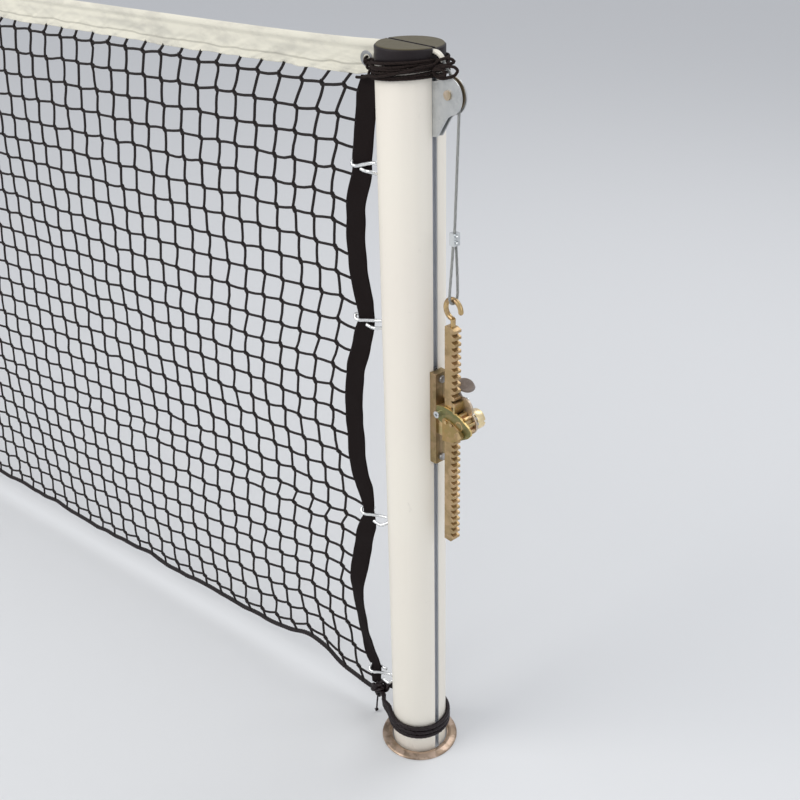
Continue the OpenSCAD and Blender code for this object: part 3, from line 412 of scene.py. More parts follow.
metals = {
    "socketSteel": ([(0.42, 0.43, 0.44), (0.33, 0.33, 0.33)], 0.5, 0.9),
    "floorBrass": ([(0.38, 0.28, 0.20), (0.25, 0.18, 0.13), (0.58, 0.44, 0.34)], 0.40, 0.85, 40.0),
    "hookBrass": ([(0.60, 0.43, 0.21), (0.40, 0.27, 0.15)], 0.33, 0.9, 80.0),
    "sheaveBronze": ([(0.44, 0.36, 0.25), (0.30, 0.24, 0.17)], 0.33, 0.9),
    "zincPlate": ([(0.56, 0.575, 0.575), (0.51, 0.525, 0.525), (0.60, 0.61, 0.605)], 0.42, 0.72, 70.0),
    "brightZinc": ([(0.72, 0.74, 0.74), (0.60, 0.62, 0.63)], 0.22, 0.95),
    "hookZinc": ([(0.90, 0.91, 0.90), (0.80, 0.81, 0.81)], 0.24, 0.85, 60.0, 0.1),
    "plainSteel": ([(0.50, 0.50, 0.50), (0.38, 0.38, 0.38)], 0.35, 0.95),
    "yellowZinc": ([(0.62, 0.46, 0.22), (0.50, 0.40, 0.19), (0.68, 0.46, 0.27)], 0.32, 0.9, 55.0),
    "goldZinc": ([(0.42, 0.275, 0.105), (0.37, 0.27, 0.105), (0.48, 0.31, 0.15)], 0.34, 0.9, 45.0),
    "paleZinc": ([(0.92, 0.76, 0.46), (0.84, 0.68, 0.38), (0.95, 0.78, 0.54)], 0.36, 0.8, 55.0),
    "greyZinc": ([(0.60, 0.50, 0.38), (0.52, 0.42, 0.28), (0.66, 0.54, 0.42)], 0.36, 0.8, 55.0),
    "rackZinc": ([(0.47, 0.335, 0.17), (0.37, 0.26, 0.13), (0.53, 0.375, 0.21)], 0.38, 0.85, 50.0),
    "brownZinc": ([(0.35, 0.26, 0.13), (0.27, 0.20, 0.10), (0.38, 0.27, 0.155)], 0.40, 0.85, 50.0),
}
oliveTones = [(0.225, 0.215, 0.085), (0.19, 0.195, 0.085), (0.30, 0.245, 0.11)]
cords = {
    "lashingCord": ((0.009, 0.005, 0.004), (0.042, 0.025, 0.021), 4, 0.006, 0.0003, 0.8, 0.25),
    "thickCord": ((0.007, 0.002, 0.003), (0.022, 0.010, 0.012), 5, 0.009, 0.0003, 0.34, 0.38),
    "netCord": ((0.011, 0.008, 0.008), (0.036, 0.027, 0.026), 3, 0.005, 0.0003, 0.8, 0.35),
    "bottomCord": ((0.009, 0.006, 0.007), (0.034, 0.024, 0.025), 5, 0.008, 0.0004, 0.5, 0.4),
}
paint = {
    "coat": coatPaint("creamCoat", 0, 0),
    "farCoat": coatPaint("farCoat", farX, netY),
    "cap": capPlastic(),
    # the third colour, (0.74, 0.56, 0.24), is the painted highlight on the olive plate's edges
    "oliveZinc": platePaint("oliveZinc", oliveTones, (0.74, 0.56, 0.24), 0.42),
    "canvas": canvasPaint(),
    "sheath": sheathPaint(),
    "grip": gripPaint(),
    "tape": tapePaint(),
    "wire": wirePaint(),
}
paint |= {name: metalPaint(name, *look) for name, look in metals.items()}
paint |= {name: cordPaint(name, *look) for name, look in cords.items()}
print("materials made")

# ---- stage, camera and light


def makeStage():
    floorPaint = Paint("paleFloor", (0.80, 0.81, 0.82), rough=0.75, specular=0.2)
    verts = [(-60000, -30000, -0.6), (30000, -30000, -0.6), (30000, 45000, -0.6), (-60000, 45000, -0.6)]
    floor = newMesh("studioFloor", verts, [(0, 1, 2, 3)], floorPaint.material, smooth=False)


def makeCamera():
    view = dict(place=(0.803, -1.020, 1.327), yaw=39.10, pitch=28.89, roll=-1.24, focal=1104 / 800 * 36)
    yaw, pitch, roll = (math.radians(view[k]) for k in ("yaw", "pitch", "roll"))
    forward = Vector((-math.sin(yaw) * math.cos(pitch), math.cos(yaw) * math.cos(pitch), -math.sin(pitch)))
    right = Vector((math.cos(yaw), math.sin(yaw), 0))
    up = right.cross(forward)
    right2 = right * math.cos(roll) + up * math.sin(roll)
    up2 = up * math.cos(roll) - right * math.sin(roll)
    data = bpy.data.cameras.new("camera")
    data.lens = view["focal"]
    data.sensor_width = 36
    data.clip_start = 0.05
    data.clip_end = 200
    cam = bpy.data.objects.new("camera", data)
    turn = Matrix((right2, up2, -forward)).transposed()
    cam.matrix_world = Matrix.Translation(view["place"]) @ turn.to_4x4()
    scene.collection.objects.link(cam)
    scene.camera = cam


def makeLights():
    world = bpy.data.worlds.new("studio")
    world.use_nodes = True
    world.node_tree.nodes["Background"].inputs[0].default_value = (0.93, 0.95, 1.0, 1)
    world.node_tree.nodes["Background"].inputs[1].default_value = 0.62
    scene.world = world
    lights = [
        ("windowLight", (-1.6, -2.4, 3.0), (0, 0, 0.6), 2.4, 53, (1.0, 0.98, 0.94)),
        ("fillLight", (2.6, -0.4, 1.8), (0, 0, 0.6), 1.8, 10, (0.95, 0.97, 1.0)),
        ("roofLight", (0.4, 2.2, 3.4), (0, 0, 0.8), 2.2, 28, (1.0, 1.0, 1.0)),
    ]
    for name, place, target, size, power, colour in lights:
        data = bpy.data.lights.new(name, "AREA")
        data.shape = "DISK"
        data.size = size
        data.energy = power
        data.color = colour
        lamp = bpy.data.objects.new(name, data)
        lamp.location = place
        lamp.rotation_euler = (Vector(target) - Vector(place)).to_track_quat("-Z", "Y").to_euler()
        scene.collection.objects.link(lamp)
    scene.view_settings.view_transform = "Standard"
    scene.view_settings.look = "None"


makeStage()
makeCamera()
makeLights()
print("stage, camera and lights made")

# ---- node trees that sweep cords and set knots


def geometryTree(name, inputs):
    tree = bpy.data.node_groups.new(name, "GeometryNodeTree")
    tree.interface.new_socket("Geometry", in_out="INPUT", socket_type="NodeSocketGeometry")
    for key, kind, value in inputs:
        socket = tree.interface.new_socket(key, in_out="INPUT", socket_type=kind)
        if value is not None:
            socket.default_value = value
    tree.interface.new_socket("Geometry", in_out="OUTPUT", socket_type="NodeSocketGeometry")
    graph = Graph(tree)
    return graph, graph.node("NodeGroupInput")


def finishTree(graph, geometry, material):
    real = graph.node("GeometryNodeRealizeInstances", None, geometry)
    done = graph.node("GeometryNodeSetMaterial", None, real, Material=material)
    end = graph.tree.nodes.new("NodeGroupOutput")
    graph.tree.links.new(done.socket, end.inputs[0])
    return graph.tree


def sweep(graph, curve, radius, sides, lobes, depth, twist, caps=True):
    # a lobed section swept along a curve, keeping "along" in metres and "around" from 0 to 1
    length = graph.node("GeometryNodeSplineParameter").out("Length")
    kept = graph.node("GeometryNodeCaptureAttribute", None, curve)
    kept.socket.node.capture_items.new("FLOAT", "along")
    graph.tree.links.new(length.socket, kept.socket.node.inputs[1])
    turned = graph.node("GeometryNodeSetCurveTilt", None, kept, Tilt=length * twist)
    ring = graph.node("GeometryNodeCurvePrimitiveCircle", {"mode": "RADIUS"}, sides, Radius=radius)
    turn = graph.node("GeometryNodeSplineParameter").out("Factor")
    ringKept = graph.node("GeometryNodeCaptureAttribute", None, ring)
    ringKept.socket.node.capture_items.new("FLOAT", "around")
    graph.tree.links.new(turn.socket, ringKept.socket.node.inputs[1])
    wave = (turn * lobes * (2 * math.pi)).maths("COSINE") * depth + 1.0
    place = graph.node("GeometryNodeInputPosition")
    shaped = graph.node("ShaderNodeVectorMath", {"operation": "SCALE"}, place, Scale=wave)
    section = graph.node("GeometryNodeSetPosition", None, ringKept, Position=shaped)
    solid = graph.node("GeometryNodeCurveToMesh", None, turned, section, Fill_Caps=caps)
    onPoints = {"data_type": "FLOAT", "domain": "POINT"}
    for key, source in (("along", kept), ("around", ringKept)):
        value = Value(graph, source.socket.node.outputs[1])
        solid = graph.node("GeometryNodeStoreNamedAttribute", onPoints, solid, Name=key, Value=value)
    return graph.node("GeometryNodeSetShadeSmooth", None, solid)


def makeCordTree():
    graph, given = geometryTree("cordSweep", [
        ("Radius", "NodeSocketFloat", 0.002), ("Sides", "NodeSocketInt", 16), ("Lobes", "NodeSocketFloat", 3.0),
        ("Depth", "NodeSocketFloat", 0.05), ("Twist", "NodeSocketFloat", 200.0),
        ("Material", "NodeSocketMaterial", None),
    ])
    curve = graph.node("GeometryNodeMeshToCurve", None, given)
    asked = [given.out(key) for key in ("Radius", "Sides", "Lobes", "Depth", "Twist")]
    return finishTree(graph, sweep(graph, curve, *asked), given.out("Material"))


def makeNetTree():
    graph, given = geometryTree("knottedNet", [
        ("Radius", "NodeSocketFloat", 0.0013), ("Sides", "NodeSocketInt", 8), ("Steps", "NodeSocketInt", 5),
        ("Sag", "NodeSocketFloat", 0.001), ("Knot", "NodeSocketObject", None), ("Seed", "NodeSocketInt", 4),
        ("Material", "NodeSocketMaterial", None),
    ])
    curve = graph.node("GeometryNodeMeshToCurve", None, given)
    fine = graph.node("GeometryNodeResampleCurve", {"mode": "COUNT"}, curve, Count=given.out("Steps"))
    part = graph.node("GeometryNodeSplineParameter").out("Factor")
    bulge = (part * math.pi).sin()
    jitter = graph.node("ShaderNodeTexNoise", {"noise_dimensions": "3D"}, Scale=23.0, Detail=0.0).out("Color")
    centred = graph.node("ShaderNodeVectorMath", {"operation": "SUBTRACT"}, jitter, (0.5, 0.5, 0.62))
    longEnough = graph.node("GeometryNodeSplineLength").out("Length").band(0.009, 0.025)
    reach = bulge * longEnough * given.out("Sag") * 2.0
    push = graph.node("ShaderNodeVectorMath", {"operation": "SCALE"}, centred, Scale=reach)
    slack = graph.node("GeometryNodeSetPosition", None, fine, Offset=push)
    strings = sweep(graph, slack, given.out("Radius"), given.out("Sides"), 1.0, 0.0, 0.0, caps=False)
    ownPlace = {"transform_space": "ORIGINAL"}
    info = graph.node("GeometryNodeObjectInfo", ownPlace, given.out("Knot")).out("Geometry")
    most = (0.25, 0.12, 0.25)
    least = tuple(-v for v in most)
    vector = {"data_type": "FLOAT_VECTOR"}
    turn = graph.node("FunctionNodeRandomValue", vector, least, most, Seed=given.out("Seed"))
    knotted = graph.node("GeometryNodeInputNamedAttribute", {"data_type": "FLOAT"}, "knot")
    setKnots = dict(Selection=knotted > 0.5, Instance=info, Rotation=turn)
    points = graph.node("GeometryNodeInstanceOnPoints", None, given, **setKnots)
    both = graph.node("GeometryNodeJoinGeometry", None, strings)
    graph.tree.links.new(points.socket, both.socket.node.inputs[0])
    return finishTree(graph, both, given.out("Material"))


def bake(obj, tree, **given):
    # runs the tree on the object's mesh and keeps the result as its mesh
    mod = obj.modifiers.new("shape", "NODES")
    mod.node_group = tree
    byName = {s.name: s.identifier for s in tree.interface.items_tree if s.in_out == "INPUT"}
    for key, value in given.items():
        mod[byName[key]] = value
    graph = bpy.context.evaluated_depsgraph_get()
    ready = obj.evaluated_get(graph)
    made = bpy.data.meshes.new_from_object(ready, preserve_all_data_layers=True, depsgraph=graph)
    obj.modifiers.remove(mod)
    old = obj.data
    obj.data = made
    bpy.data.meshes.remove(old)
    made.name = obj.name
    return obj


cordTree = makeCordTree()
netTree = makeNetTree()


def cordPiece(name, line, d, material, sides=16, lobes=3.0, depth=0.05, twist=200.0):
    # a cord along a line in millimetres
    edges = [(i, i + 1) for i in range(len(line) - 1)]
    obj = newMesh(name, line, [], edges=edges, smooth=False)
    return bake(obj, cordTree, Radius=d / 2 * mm, Sides=sides, Lobes=lobes, Depth=depth, Twist=twist,
                Material=material)


def joined(name, parts):
    verts, faces, layers = [], [], {"along": [], "around": []}
    for part in parts:
        base = len(verts)
        verts += [v.co.copy() for v in part.data.vertices]
        faces += [[base + i for i in p.vertices] for p in part.data.polygons]
        for key in layers:
            layers[key] += [d.value for d in part.data.attributes[key].data]
    obj = newMesh(name, np.array([tuple(v) for v in verts]), faces, parts[0].data.materials[0], scale=1.0)
    setPoints(obj, **layers)
    for part in parts:
        bpy.data.objects.remove(part)
    return obj


print("node trees made")

# ---- the CAD parts that keep their own shape


def dress(names, material, bevel=0.35):
    # gives a CAD part its finish, and bright thin edges where bevel is above 0
    for name in names.split():
        obj = nodes[name]
        obj.data.materials.clear()
        obj.data.materials.append(paint[material])
        if bevel:
            weld = obj.modifiers.new("weld", "WELD")
            weld.merge_threshold = 0.00001
            edge = obj.modifiers.new("edge", "BEVEL")
            edge.width = bevel * mm
            edge.segments = 2
            edge.limit_method = "ANGLE"
            edge.angle_limit = math.radians(35)
            edge.harden_normals = True
            edge.use_clamp_overlap = True


dress("near_post_profile", "coat", 0.5)
dress("far_post_profile", "farCoat", 0.5)
dress("near_post_cap far_post_cap", "cap", 0.5)
dress("near_ground_sleeve far_ground_sleeve", "socketSteel", 0)
dress("near_floor_ring far_floor_ring", "floorBrass", 0.5)
dress("pulley_bracket", "zincPlate", 0.3)
dress("pulley_axle", "greyZinc", 0.4)
dress("cheek_screws pawl_pin wire_clip", "brightZinc", 0.35)
dress("base_bar_screws", "plainSteel", 0.35)
dress("sheave", "sheaveBronze", 0.25)
dress("base_bar", "brownZinc", 0.5)
dress("near_cheek", "oliveZinc", 0.4)
dress("pinion_shaft", "oliveZinc", 0.2)
dress("bridge_plate pinion rack_guide far_cable_hook", "yellowZinc", 0.3)
dress("far_cheek", "greyZinc", 0.3)
dress("crank_coupling", "paleZinc", 0.3)
dress("rack", "rackZinc", 0.3)
dress("cover_plate", "goldZinc", 0.3)
dress("cover_screws shaft_bushes near_groove_hooks far_groove_hooks", "hookBrass", 0.2)
dress("headband_grommets", "plainSteel", 0.2)
dress("rack_hook", "hookBrass", 0)
dress("base_bar_t_nuts ratchet_wheel", "plainSteel", 0.25)
dress("pawl_spring", "plainSteel", 0)
dress("pawl", "grip", 0.5)
print("CAD parts dressed")

# ---- steel cable and its sheath

cable = dict(bare=3.5, sheath=6, sheaveOut=67.5, sheaveZ=1028, wrapR=14.25, sheathEnd=(55.5, 0, 1063),
             footOut=74.7, clipTop=867)


def declared(obj, line, diameter):
    print("cord", obj.name, round(lineLength(line)), "mm")


def wireRope(name, line, sides):
    strands = dict(lobes=6.0, depth=0.07, twist=570.0)
    return cordPiece(name, line, cable["bare"], paint["wire"], sides=sides, **strands)


def loopOf(leg, end):
    # down one leg, round the end and up the other
    return [(r, -v, z) for r, v, z in leg] + [end] + leg[::-1]


def cableDip(x):
    # how far the cable has sunk between the posts, level at both caps
    away = np.clip(np.minimum(-60 - x, x - farX - 60), 0, None)
    return 2.2 * (1 - np.exp(-away / 140))


def makeSheath():
    places = [farX - np.linspace(44.5, -500, 30), np.linspace(farX + 700, -700, 60),
              np.linspace(-500, -66, 25)]
    span = [(x, netY, court["cableZ"] - cableDip(x)) for x in np.concatenate(places)]
    capLine = [(-44.5, 1065), (-20, 1065), (4, 1066.9), (25, 1069.8), (42.5, 1071.3), (48, 1070.2),
               (52.3, 1067.3)]
    overCap = [nearPoint(r, 0, z) for r, z in capLine] + [nearPoint(*cable["sheathEnd"])]
    line = np.vstack([span[:-1], spline([span[-1]] + overCap, 5)])
    obj = cordPiece("sheathedCable", line, cable["sheath"], paint["sheath"], sides=20, depth=0.0)
    placed(obj, fixed, "sheath", "net_cable")
    declared(obj, line, cable["sheath"])


def makeSheaveCable():
    ends = np.array([cable["sheathEnd"][0] - cable["sheaveOut"], cable["sheathEnd"][2] - cable["sheaveZ"]])
    wrap = math.atan2(ends[1], ends[0]) - math.acos(cable["wrapR"] / np.linalg.norm(ends))
    turn = []
    for a in np.linspace(0, wrap, 14):
        out, up = cable["wrapR"] * math.cos(a), cable["wrapR"] * math.sin(a)
        turn.append((cable["sheaveOut"] + out, 0, cable["sheaveZ"] + up))
    line = evenly([nearPoint(*p) for p in turn + [cable["sheathEnd"]]], 1.6)
    obj = wireRope("sheaveCable", line, 24)
    placed(obj, fixed, "bare_steel", "sheave_cable")
    declared(obj, line, cable["bare"])


def makeCableRun():
    top = nearPoint(cable["sheaveOut"] + cable["wrapR"], 0, cable["sheaveZ"])
    foot = nearPoint(cable["footOut"], 0, cable["clipTop"] - 2)
    line = evenly([foot, top], 1.6)
    obj = wireRope("cableRun", line, 24)
    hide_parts("cable_run")
    [v * mm for v in foot]
    [v * mm for v in top]
    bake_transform(obj)
    declared(obj, line, cable["bare"])


def makeCableLoop():
    x, hookOut, foot, spread = cable["footOut"], 73.4, 774.5, 6.65
    leg = [(x, 2.2, 853), (x, 3.4, 837), (x - 0.8, spread - 0.6, foot + 26), (hookOut, spread, foot + 9),
           (hookOut, spread - 1.8, foot + 2.6)]
    line = evenly([nearPoint(*p) for p in spline(loopOf(leg, (hookOut, 0, foot)), 8)], 1.5)
    obj = wireRope("cableLoop", line, 20)
    placed(obj, "rack_slide", "bare_steel", "cable_loop")
    declared(obj, line, cable["bare"])


def makeFarCableEnd():
    x, anchorZ = 51, 990
    clipFoot = anchorZ + 34
    leg = [(x, 2.2, clipFoot + 2), (x, 3, clipFoot - 6), (x, 6.4, anchorZ + 14), (x, 6, anchorZ),
           (x, 4.2, anchorZ - 4.4)]
    line = evenly([farPoint(*p) for p in spline(loopOf(leg, (x, 0, anchorZ - 6)), 6)], 2.5)
    obj = wireRope("farCableLoop", line, 12)
    placed(obj, fixed, "bare_steel", "far_cable_end")
    declared(obj, line, cable["bare"])
    upper = [(x, 0, clipFoot + 12), (x, 0, clipFoot + 20), (49.5, 0, 1058.5), (47.5, 0, 1063.4),
             (44.5, 0, 1065)]
    line = evenly([farPoint(*p) for p in spline(upper, 8)], 2.0)
    rope = wireRope("farCableTop", line, 12)
    placed(rope, fixed, "bare_steel")
    declared(rope, line, cable["bare"])
    corners = [farPoint(x + a * 3.4, b * 4.6, clipFoot + c) for a in (-1, 1) for b in (-1, 1) for c in (0, 14)]
    faces = [(0, 1, 3, 2), (4, 6, 7, 5), (0, 4, 5, 1), (2, 3, 7, 6), (0, 2, 6, 4), (1, 5, 7, 3)]
    clip = newMesh("farCableClip", corners, [f[::-1] for f in faces], paint["brightZinc"], smooth=False)
    placed(clip, fixed, "bright_zinc")


makeSheath()
makeSheaveCable()
makeCableRun()
makeCableLoop()
makeFarCableEnd()
print("cables made")

# ---- the headband, a strip of canvas folded over the cable and sewn shut

band = dict(nearEnd=-49, farEnd=farX + 49, thick=1.2, foot=1025.2, seamZ=1039.5, hemH=6.0, grommetX=-70,
            foldR=4.4)


def ripple(x, seed, longest, count=5):
    # a smooth wandering line between about -1 and 1
    rng = np.random.default_rng(seed)
    out = np.zeros_like(np.asarray(x, float))
    for k in range(count):
        wave = longest / (1.0 + 0.85 * k)
        out = out + np.sin(2 * math.pi * (np.asarray(x) / wave + rng.random())) / (1 + 0.55 * k)
    return out / 1.7


def setPoints(obj, **values):
    for name, data in values.items():
        layer = obj.data.attributes.new(name, "FLOAT", "POINT")
        layer.data.foreach_set("value", np.asarray(data, np.float32).ravel())


def bandSection():
    # the folded strip's middle line as (y, z), front hem to back hem
    hem = np.linspace(band["foot"], 1037, 10, endpoint=False)
    sewn = np.linspace(1037, 1042, 8, endpoint=False)
    leg = [(-0.9, z) for z in np.concatenate([hem, sewn, np.linspace(1042, 1058.5, 12)])]
    r = band["foldR"]
    turn = [(r * math.cos(a), court["cableZ"] + r * math.sin(a)) for a in np.radians(np.linspace(222, -42, 20))]
    return np.array(leg + turn + [(-y, z) for y, z in leg[::-1]])


def makeHeadband():
    section = bandSection()
    n = len(section)
    farTurn = band["farEnd"] + 60
    along = np.concatenate([np.arange(band["nearEnd"], -closeReach, -3.0),
                            np.arange(-closeReach, farTurn, -25.0),
                            np.arange(farTurn, band["farEnd"] - 0.1, -6.0)])
    tangent = np.gradient(section, axis=0)
    normal = np.stack([-tangent[:, 1], tangent[:, 0]], 1)
    normal /= np.linalg.norm(normal, axis=1)[:, None]
    x = along[:, None]
    y, z = section[:, 0][None, :], section[:, 1][None, :]
    down = np.clip((1060 - z) / 35, 0, 1)
    hem = ripple(x, 3, 310) * 1.6 + ripple(x, 4, 90) * 0.9
    atGrommets = [np.exp(-((x - place) / 14) ** 2) for place in (band["grommetX"], farX - band["grommetX"])]
    calm = 1 - np.clip(sum(atGrommets), 0, 1)
    fromEnd = x - band["nearEnd"]
    lofted = np.exp(fromEnd / 70) + np.exp((band["farEnd"] - x) / 70)
    up = z - 1040
    fold = ripple(x + up * 1.5, 8, 120) * 1.9 + ripple(x - up * 2.2, 9, 47) * 0.8 + ripple(x, 10, 420) * 1.6
    creases = ripple(up * 6 + fromEnd * 0.5, 12, 60) * 1.2 * np.exp(fromEnd / 90)
    push = (fold + creases) * down ** 0.7 * calm
    seam = z - (band["seamZ"] - 3.5 * (1 - lofted.clip(0, 1)) + ripple(x, 5, 150))
    pinch = np.exp(-(seam / 1.5) ** 2)
    across = y * (1 - 0.55 * pinch) + push
    lift = z + (hem * 0.7 + 2.6 + 5.0 * lofted) * down + np.clip(z - 1058, 0, 20) * 0.28 * lofted - cableDip(x)
    slant = np.clip(1068 - z, 0, 60) ** 0.5 * 2.4
    cut = x - slant * np.exp(fromEnd / 22) + slant * np.exp((band["farEnd"] - x) / 22)
    hemThick = np.where(z < band["foot"] + band["hemH"], 1.35, 1.0)
    sheets = []
    for side in (1, -1):
        t = side * band["thick"] / 2 * hemThick * (1 - 0.25 * pinch)
        sheets.append(np.stack([cut, netY + across + normal[:, 0] * t, lift + normal[:, 1] * t], -1))
    ring = np.concatenate([sheets[0], sheets[1][:, ::-1]], 1)
    rows, cols = ring.shape[:2]
    faces = gridFaces(rows, cols, closeCols=True)
    for row in (0, rows - 1):
        for k in range(n - 1):
            closing = [row * cols + at for at in (k, k + 1, cols - 2 - k, cols - 1 - k)]
            faces.append(closing[::-1] if row else closing)
    obj = newMesh("canvasHeadband", ring.reshape(-1, 3), faces, paint["canvas"])
    outer = np.broadcast_to(seam, (rows, n))
    # the other side of the canvas gets a seam value of 9 mm, which keeps the seam line off it and gives it the
    # patchy painted shade
    setPoints(obj, seam=np.concatenate([outer, np.full((rows, n), 9.0)], 1),
              along=np.broadcast_to(x, (rows, cols)) * mm)
    turnOutwards(obj)
    placed(obj, fixed, "canvas", "headband")
    length = band["nearEnd"] - band["farEnd"]
    length * mm


def turnOutwards(obj):
    # the faces of a closed mesh all face out
    work = bmesh.new()
    work.from_mesh(obj.data)
    bmesh.ops.recalc_face_normals(work, faces=work.faces)
    if work.calc_volume(signed=True) < 0:
        bmesh.ops.reverse_faces(work, faces=work.faces)
    work.to_mesh(obj.data)
    work.free()


makeHeadband()
print("headband made")

# ---- side tapes, pulled to the post at each hook and slack between them

tape = dict(width=32, thick=2.6, foot=46)
tapeTwist = [(1030, 0), (985, 0), (270, 3), (240, -9), (215, -18), (150, -21), (125, -17), (98, -5), (60, 0),
             (40, 0)]
tapeWidth = [(1030, 0.72), (1020, 0.78), (1004, 1.0), (730, 1.0), (712, 0.88), (700, 0.86), (680, 0.98),
             (425, 1.0), (404, 0.76), (391, 0.60), (380, 0.66), (362, 0.92), (340, 1.0), (120, 1.0),
             (98, 0.9), (80, 0.7), (62, 0.6), (46, 0.55)]
tapeLine = [(-68, 1026), (-76, 990), (-84, 930), (-85, 910), (-96, 870), (-99, 835), (-97, 762), (-90, 724),
            (-87, 702), (-98, 662), (-110, 615), (-117, 560), (-117, 519), (-110, 450), (-95, 396),
            (-94, 378), (-104, 345), (-116, 295), (-125, 238), (-123, 190), (-116, 155), (-106, 112),
            (-96, 86), (-95, 66), (-94, 46)]


def tapeCentre(z):
    line = spline([(x, 0, h) for x, h in tapeLine], 12)
    return np.interp(z, line[::-1, 2], line[::-1, 0])


def tapePoint(z, s, t, far):
    # the tape's point at height z, s from -1 at the net's side to 1 across it, t from -1 to 1 through it
    x = tapeCentre(z)
    slope = (tapeCentre(z + 1) - tapeCentre(z - 1)) / 2
    twist = np.radians(atHeight(tapeTwist, z))
    across = s * tape["width"] / 2 * atHeight(tapeWidth, z)
    flat = across * np.cos(twist) / np.sqrt(1 + slope ** 2)
    cup = ripple(z, 31 + far, 130) * 1.3 * (s * s - 0.4)
    y = netY + ripple(z, 21 + far, 210) * 1.6 + cup + across * np.sin(twist) + t * tape["thick"] / 2
    px = x + flat
    return np.stack([farX - px if far else px, y, z - flat * slope], -1)


def makeTape(name, node, far):
    z = np.arange(1029.0, tape["foot"] - 0.1, -2.5)
    x = tapeCentre(z)
    upper = [(-1, 0), (-0.97, 0.75), (-0.88, 1), (-0.5, 0.93), (0, 0.9), (0.5, 0.93), (0.88, 1), (0.97, 0.75)]
    shape = upper + [(-s, -t) for s, t in upper]
    ring = np.stack([tapePoint(z, s, t, far) for s, t in shape], 1)
    rows, cols = ring.shape[:2]
    faces = gridFaces(rows, cols, closeCols=True)
    faces += [list(range(cols))[::-1], [(rows - 1) * cols + k for k in range(cols)]]
    obj = newMesh(name, ring.reshape(-1, 3), faces, paint["tape"])
    run = np.concatenate([[0], np.cumsum(np.hypot(np.diff(x), np.diff(z)))])
    setPoints(obj, along=np.repeat(run * mm, cols), across=np.tile([0.5 + 0.5 * s for s, t in shape], rows))
    turnOutwards(obj)
    placed(obj, fixed, "black_tape", node)


makeTape("nearSideTape", "near_side_tape", 0)
makeTape("farSideTape", "far_side_tape", 1)

# ---- the cord along the net's foot

foot = dict(z=56, d=7.8)
footLine = [(-88, 32), (-110, 33), (-137, 38), (-175, 48.5), (-204, 64), (-243, 73), (-288, 61), (-345, 54),
            (-398, 51)]


def footZ(x):
    # height of the bottom cord along the court: its own line at both ends, loose waves between them
    curve = spline([(a, 0, b) for a, b in footLine], 8)
    slack = foot["z"] - 3 + ripple(x, 51, 640) * 3.5 + ripple(x, 52, 190) * 1.6
    ends = []
    for out in (x, farX - x):
        blend = np.clip((footLine[-1][0] - out) / 120, 0, 1)
        ends.append(np.interp(out, curve[::-1, 0], curve[::-1, 2]) * (1 - blend) + slack * blend)
    return np.where(x > -closeReach, ends[0], np.where(x < farX + closeReach, ends[1], slack))


def makeBottomCord():
    start, farClose = -84, farX + closeReach
    x = np.concatenate([np.arange(start, -closeReach, -5.0), np.arange(-closeReach, farClose, -40.0),
                        np.arange(farClose, farX - start, -8.0)])
    line = np.stack([x, netY + ripple(x, 55, 260) * 1.5, footZ(x)], 1)
    obj = cordPiece("bottomCord", line, foot["d"], paint["bottomCord"], sides=12, lobes=4.0, twist=260.0)
    placed(obj, fixed, "black_cord", "bottom_cord")
    declared(obj, line, foot["d"])


makeBottomCord()
print("tapes and bottom cord made")

# ---- the knotted net

net = dict(rows=27, rowPitch=35.96, firstZ=1012, pitch=38.45, firstX=-108, d=3.9, knot=5.2, sag=2.2,
           highRow=19, highBy=5)
edgeLine = [(1030, -96), (1012, -108), (978, -121), (942, -126), (909, -133), (836, -141), (762, -137),
            (725, -133), (690, -140), (657, -144), (620, -152), (585, -156), (515, -158), (478, -151),
            (443, -148), (409, -145), (374, -139), (344, -151), (269, -159), (232, -161), (154, -155),
            (118, -142), (77, -133), (40, -122)]
columns = int(round((-farX + 2 * net["firstX"]) / net["pitch"])) + 1


def shift(z):
    # how far a crossing reaches along the row, half to each side, as (x, z)
    low = np.clip((700 - z) / 600, 0, 1)
    return 2.3 + 0.4 * low, 1.4 + 1.9 * low


def netKnot(rings, sides, strands):
    # the short stretch where two strings run round each other
    parts = []
    for k in range(strands):
        t = np.linspace(-0.5, 0.5, rings)
        a = 2.6 * math.pi * t + math.pi * k
        off = net["d"] * 0.34
        run = t * net["knot"]
        line = np.stack([run + 0.45 * off * np.cos(a), off * np.sin(a), 0.9 * off * np.cos(a) - run], 1)
        plain = dict(sides=sides, lobes=1.0, depth=0.0, twist=0.0)
        parts.append(cordPiece("knotStrand" + str(k), line, net["d"], paint["netCord"], **plain))
    return joined("knotShape", parts)


def netPoint(k, j):
    # where column k crosses row j; row -1 is the headband, the row after the last the bottom cord
    rowZ = net["firstZ"] - net["rowPitch"] * j
    x = net["firstX"] - net["pitch"] * k
    edge = atHeight(edgeLine, rowZ) - net["firstX"]
    x = x + edge * np.exp(-k / 9) - edge * np.exp(-(columns - 1 - k) / 9)
    rng = random.Random(int(k) * 31 + int(j) * 7)
    x = x + rng.uniform(-1.3, 1.3) + 3.5 * math.exp(-max(j, 0) / 3) * min(k, 1)
    lowZ = float(footZ(np.array([x]))[0])
    z = rowZ + (lowZ - foot["z"]) * math.exp(-(rowZ - foot["z"]) / 95) + rng.uniform(-1.6, 1.6)
    if j == net["highRow"]:
        z += net["highBy"]
    y = netY + rng.uniform(-1.0, 1.0) + 2.2 * math.sin(x / 170 + rowZ / 90)
    if j == -1:
        x = net["firstX"] - net["pitch"] * k + 14.5 + rng.uniform(-1.5, 1.5)
        z, y = 1028.6 + 2.6 * math.exp(-k / 3) - float(cableDip(x)), netY
    if j == net["rows"]:
        z, y = lowZ + 1.0, netY
    return (x, y, z)


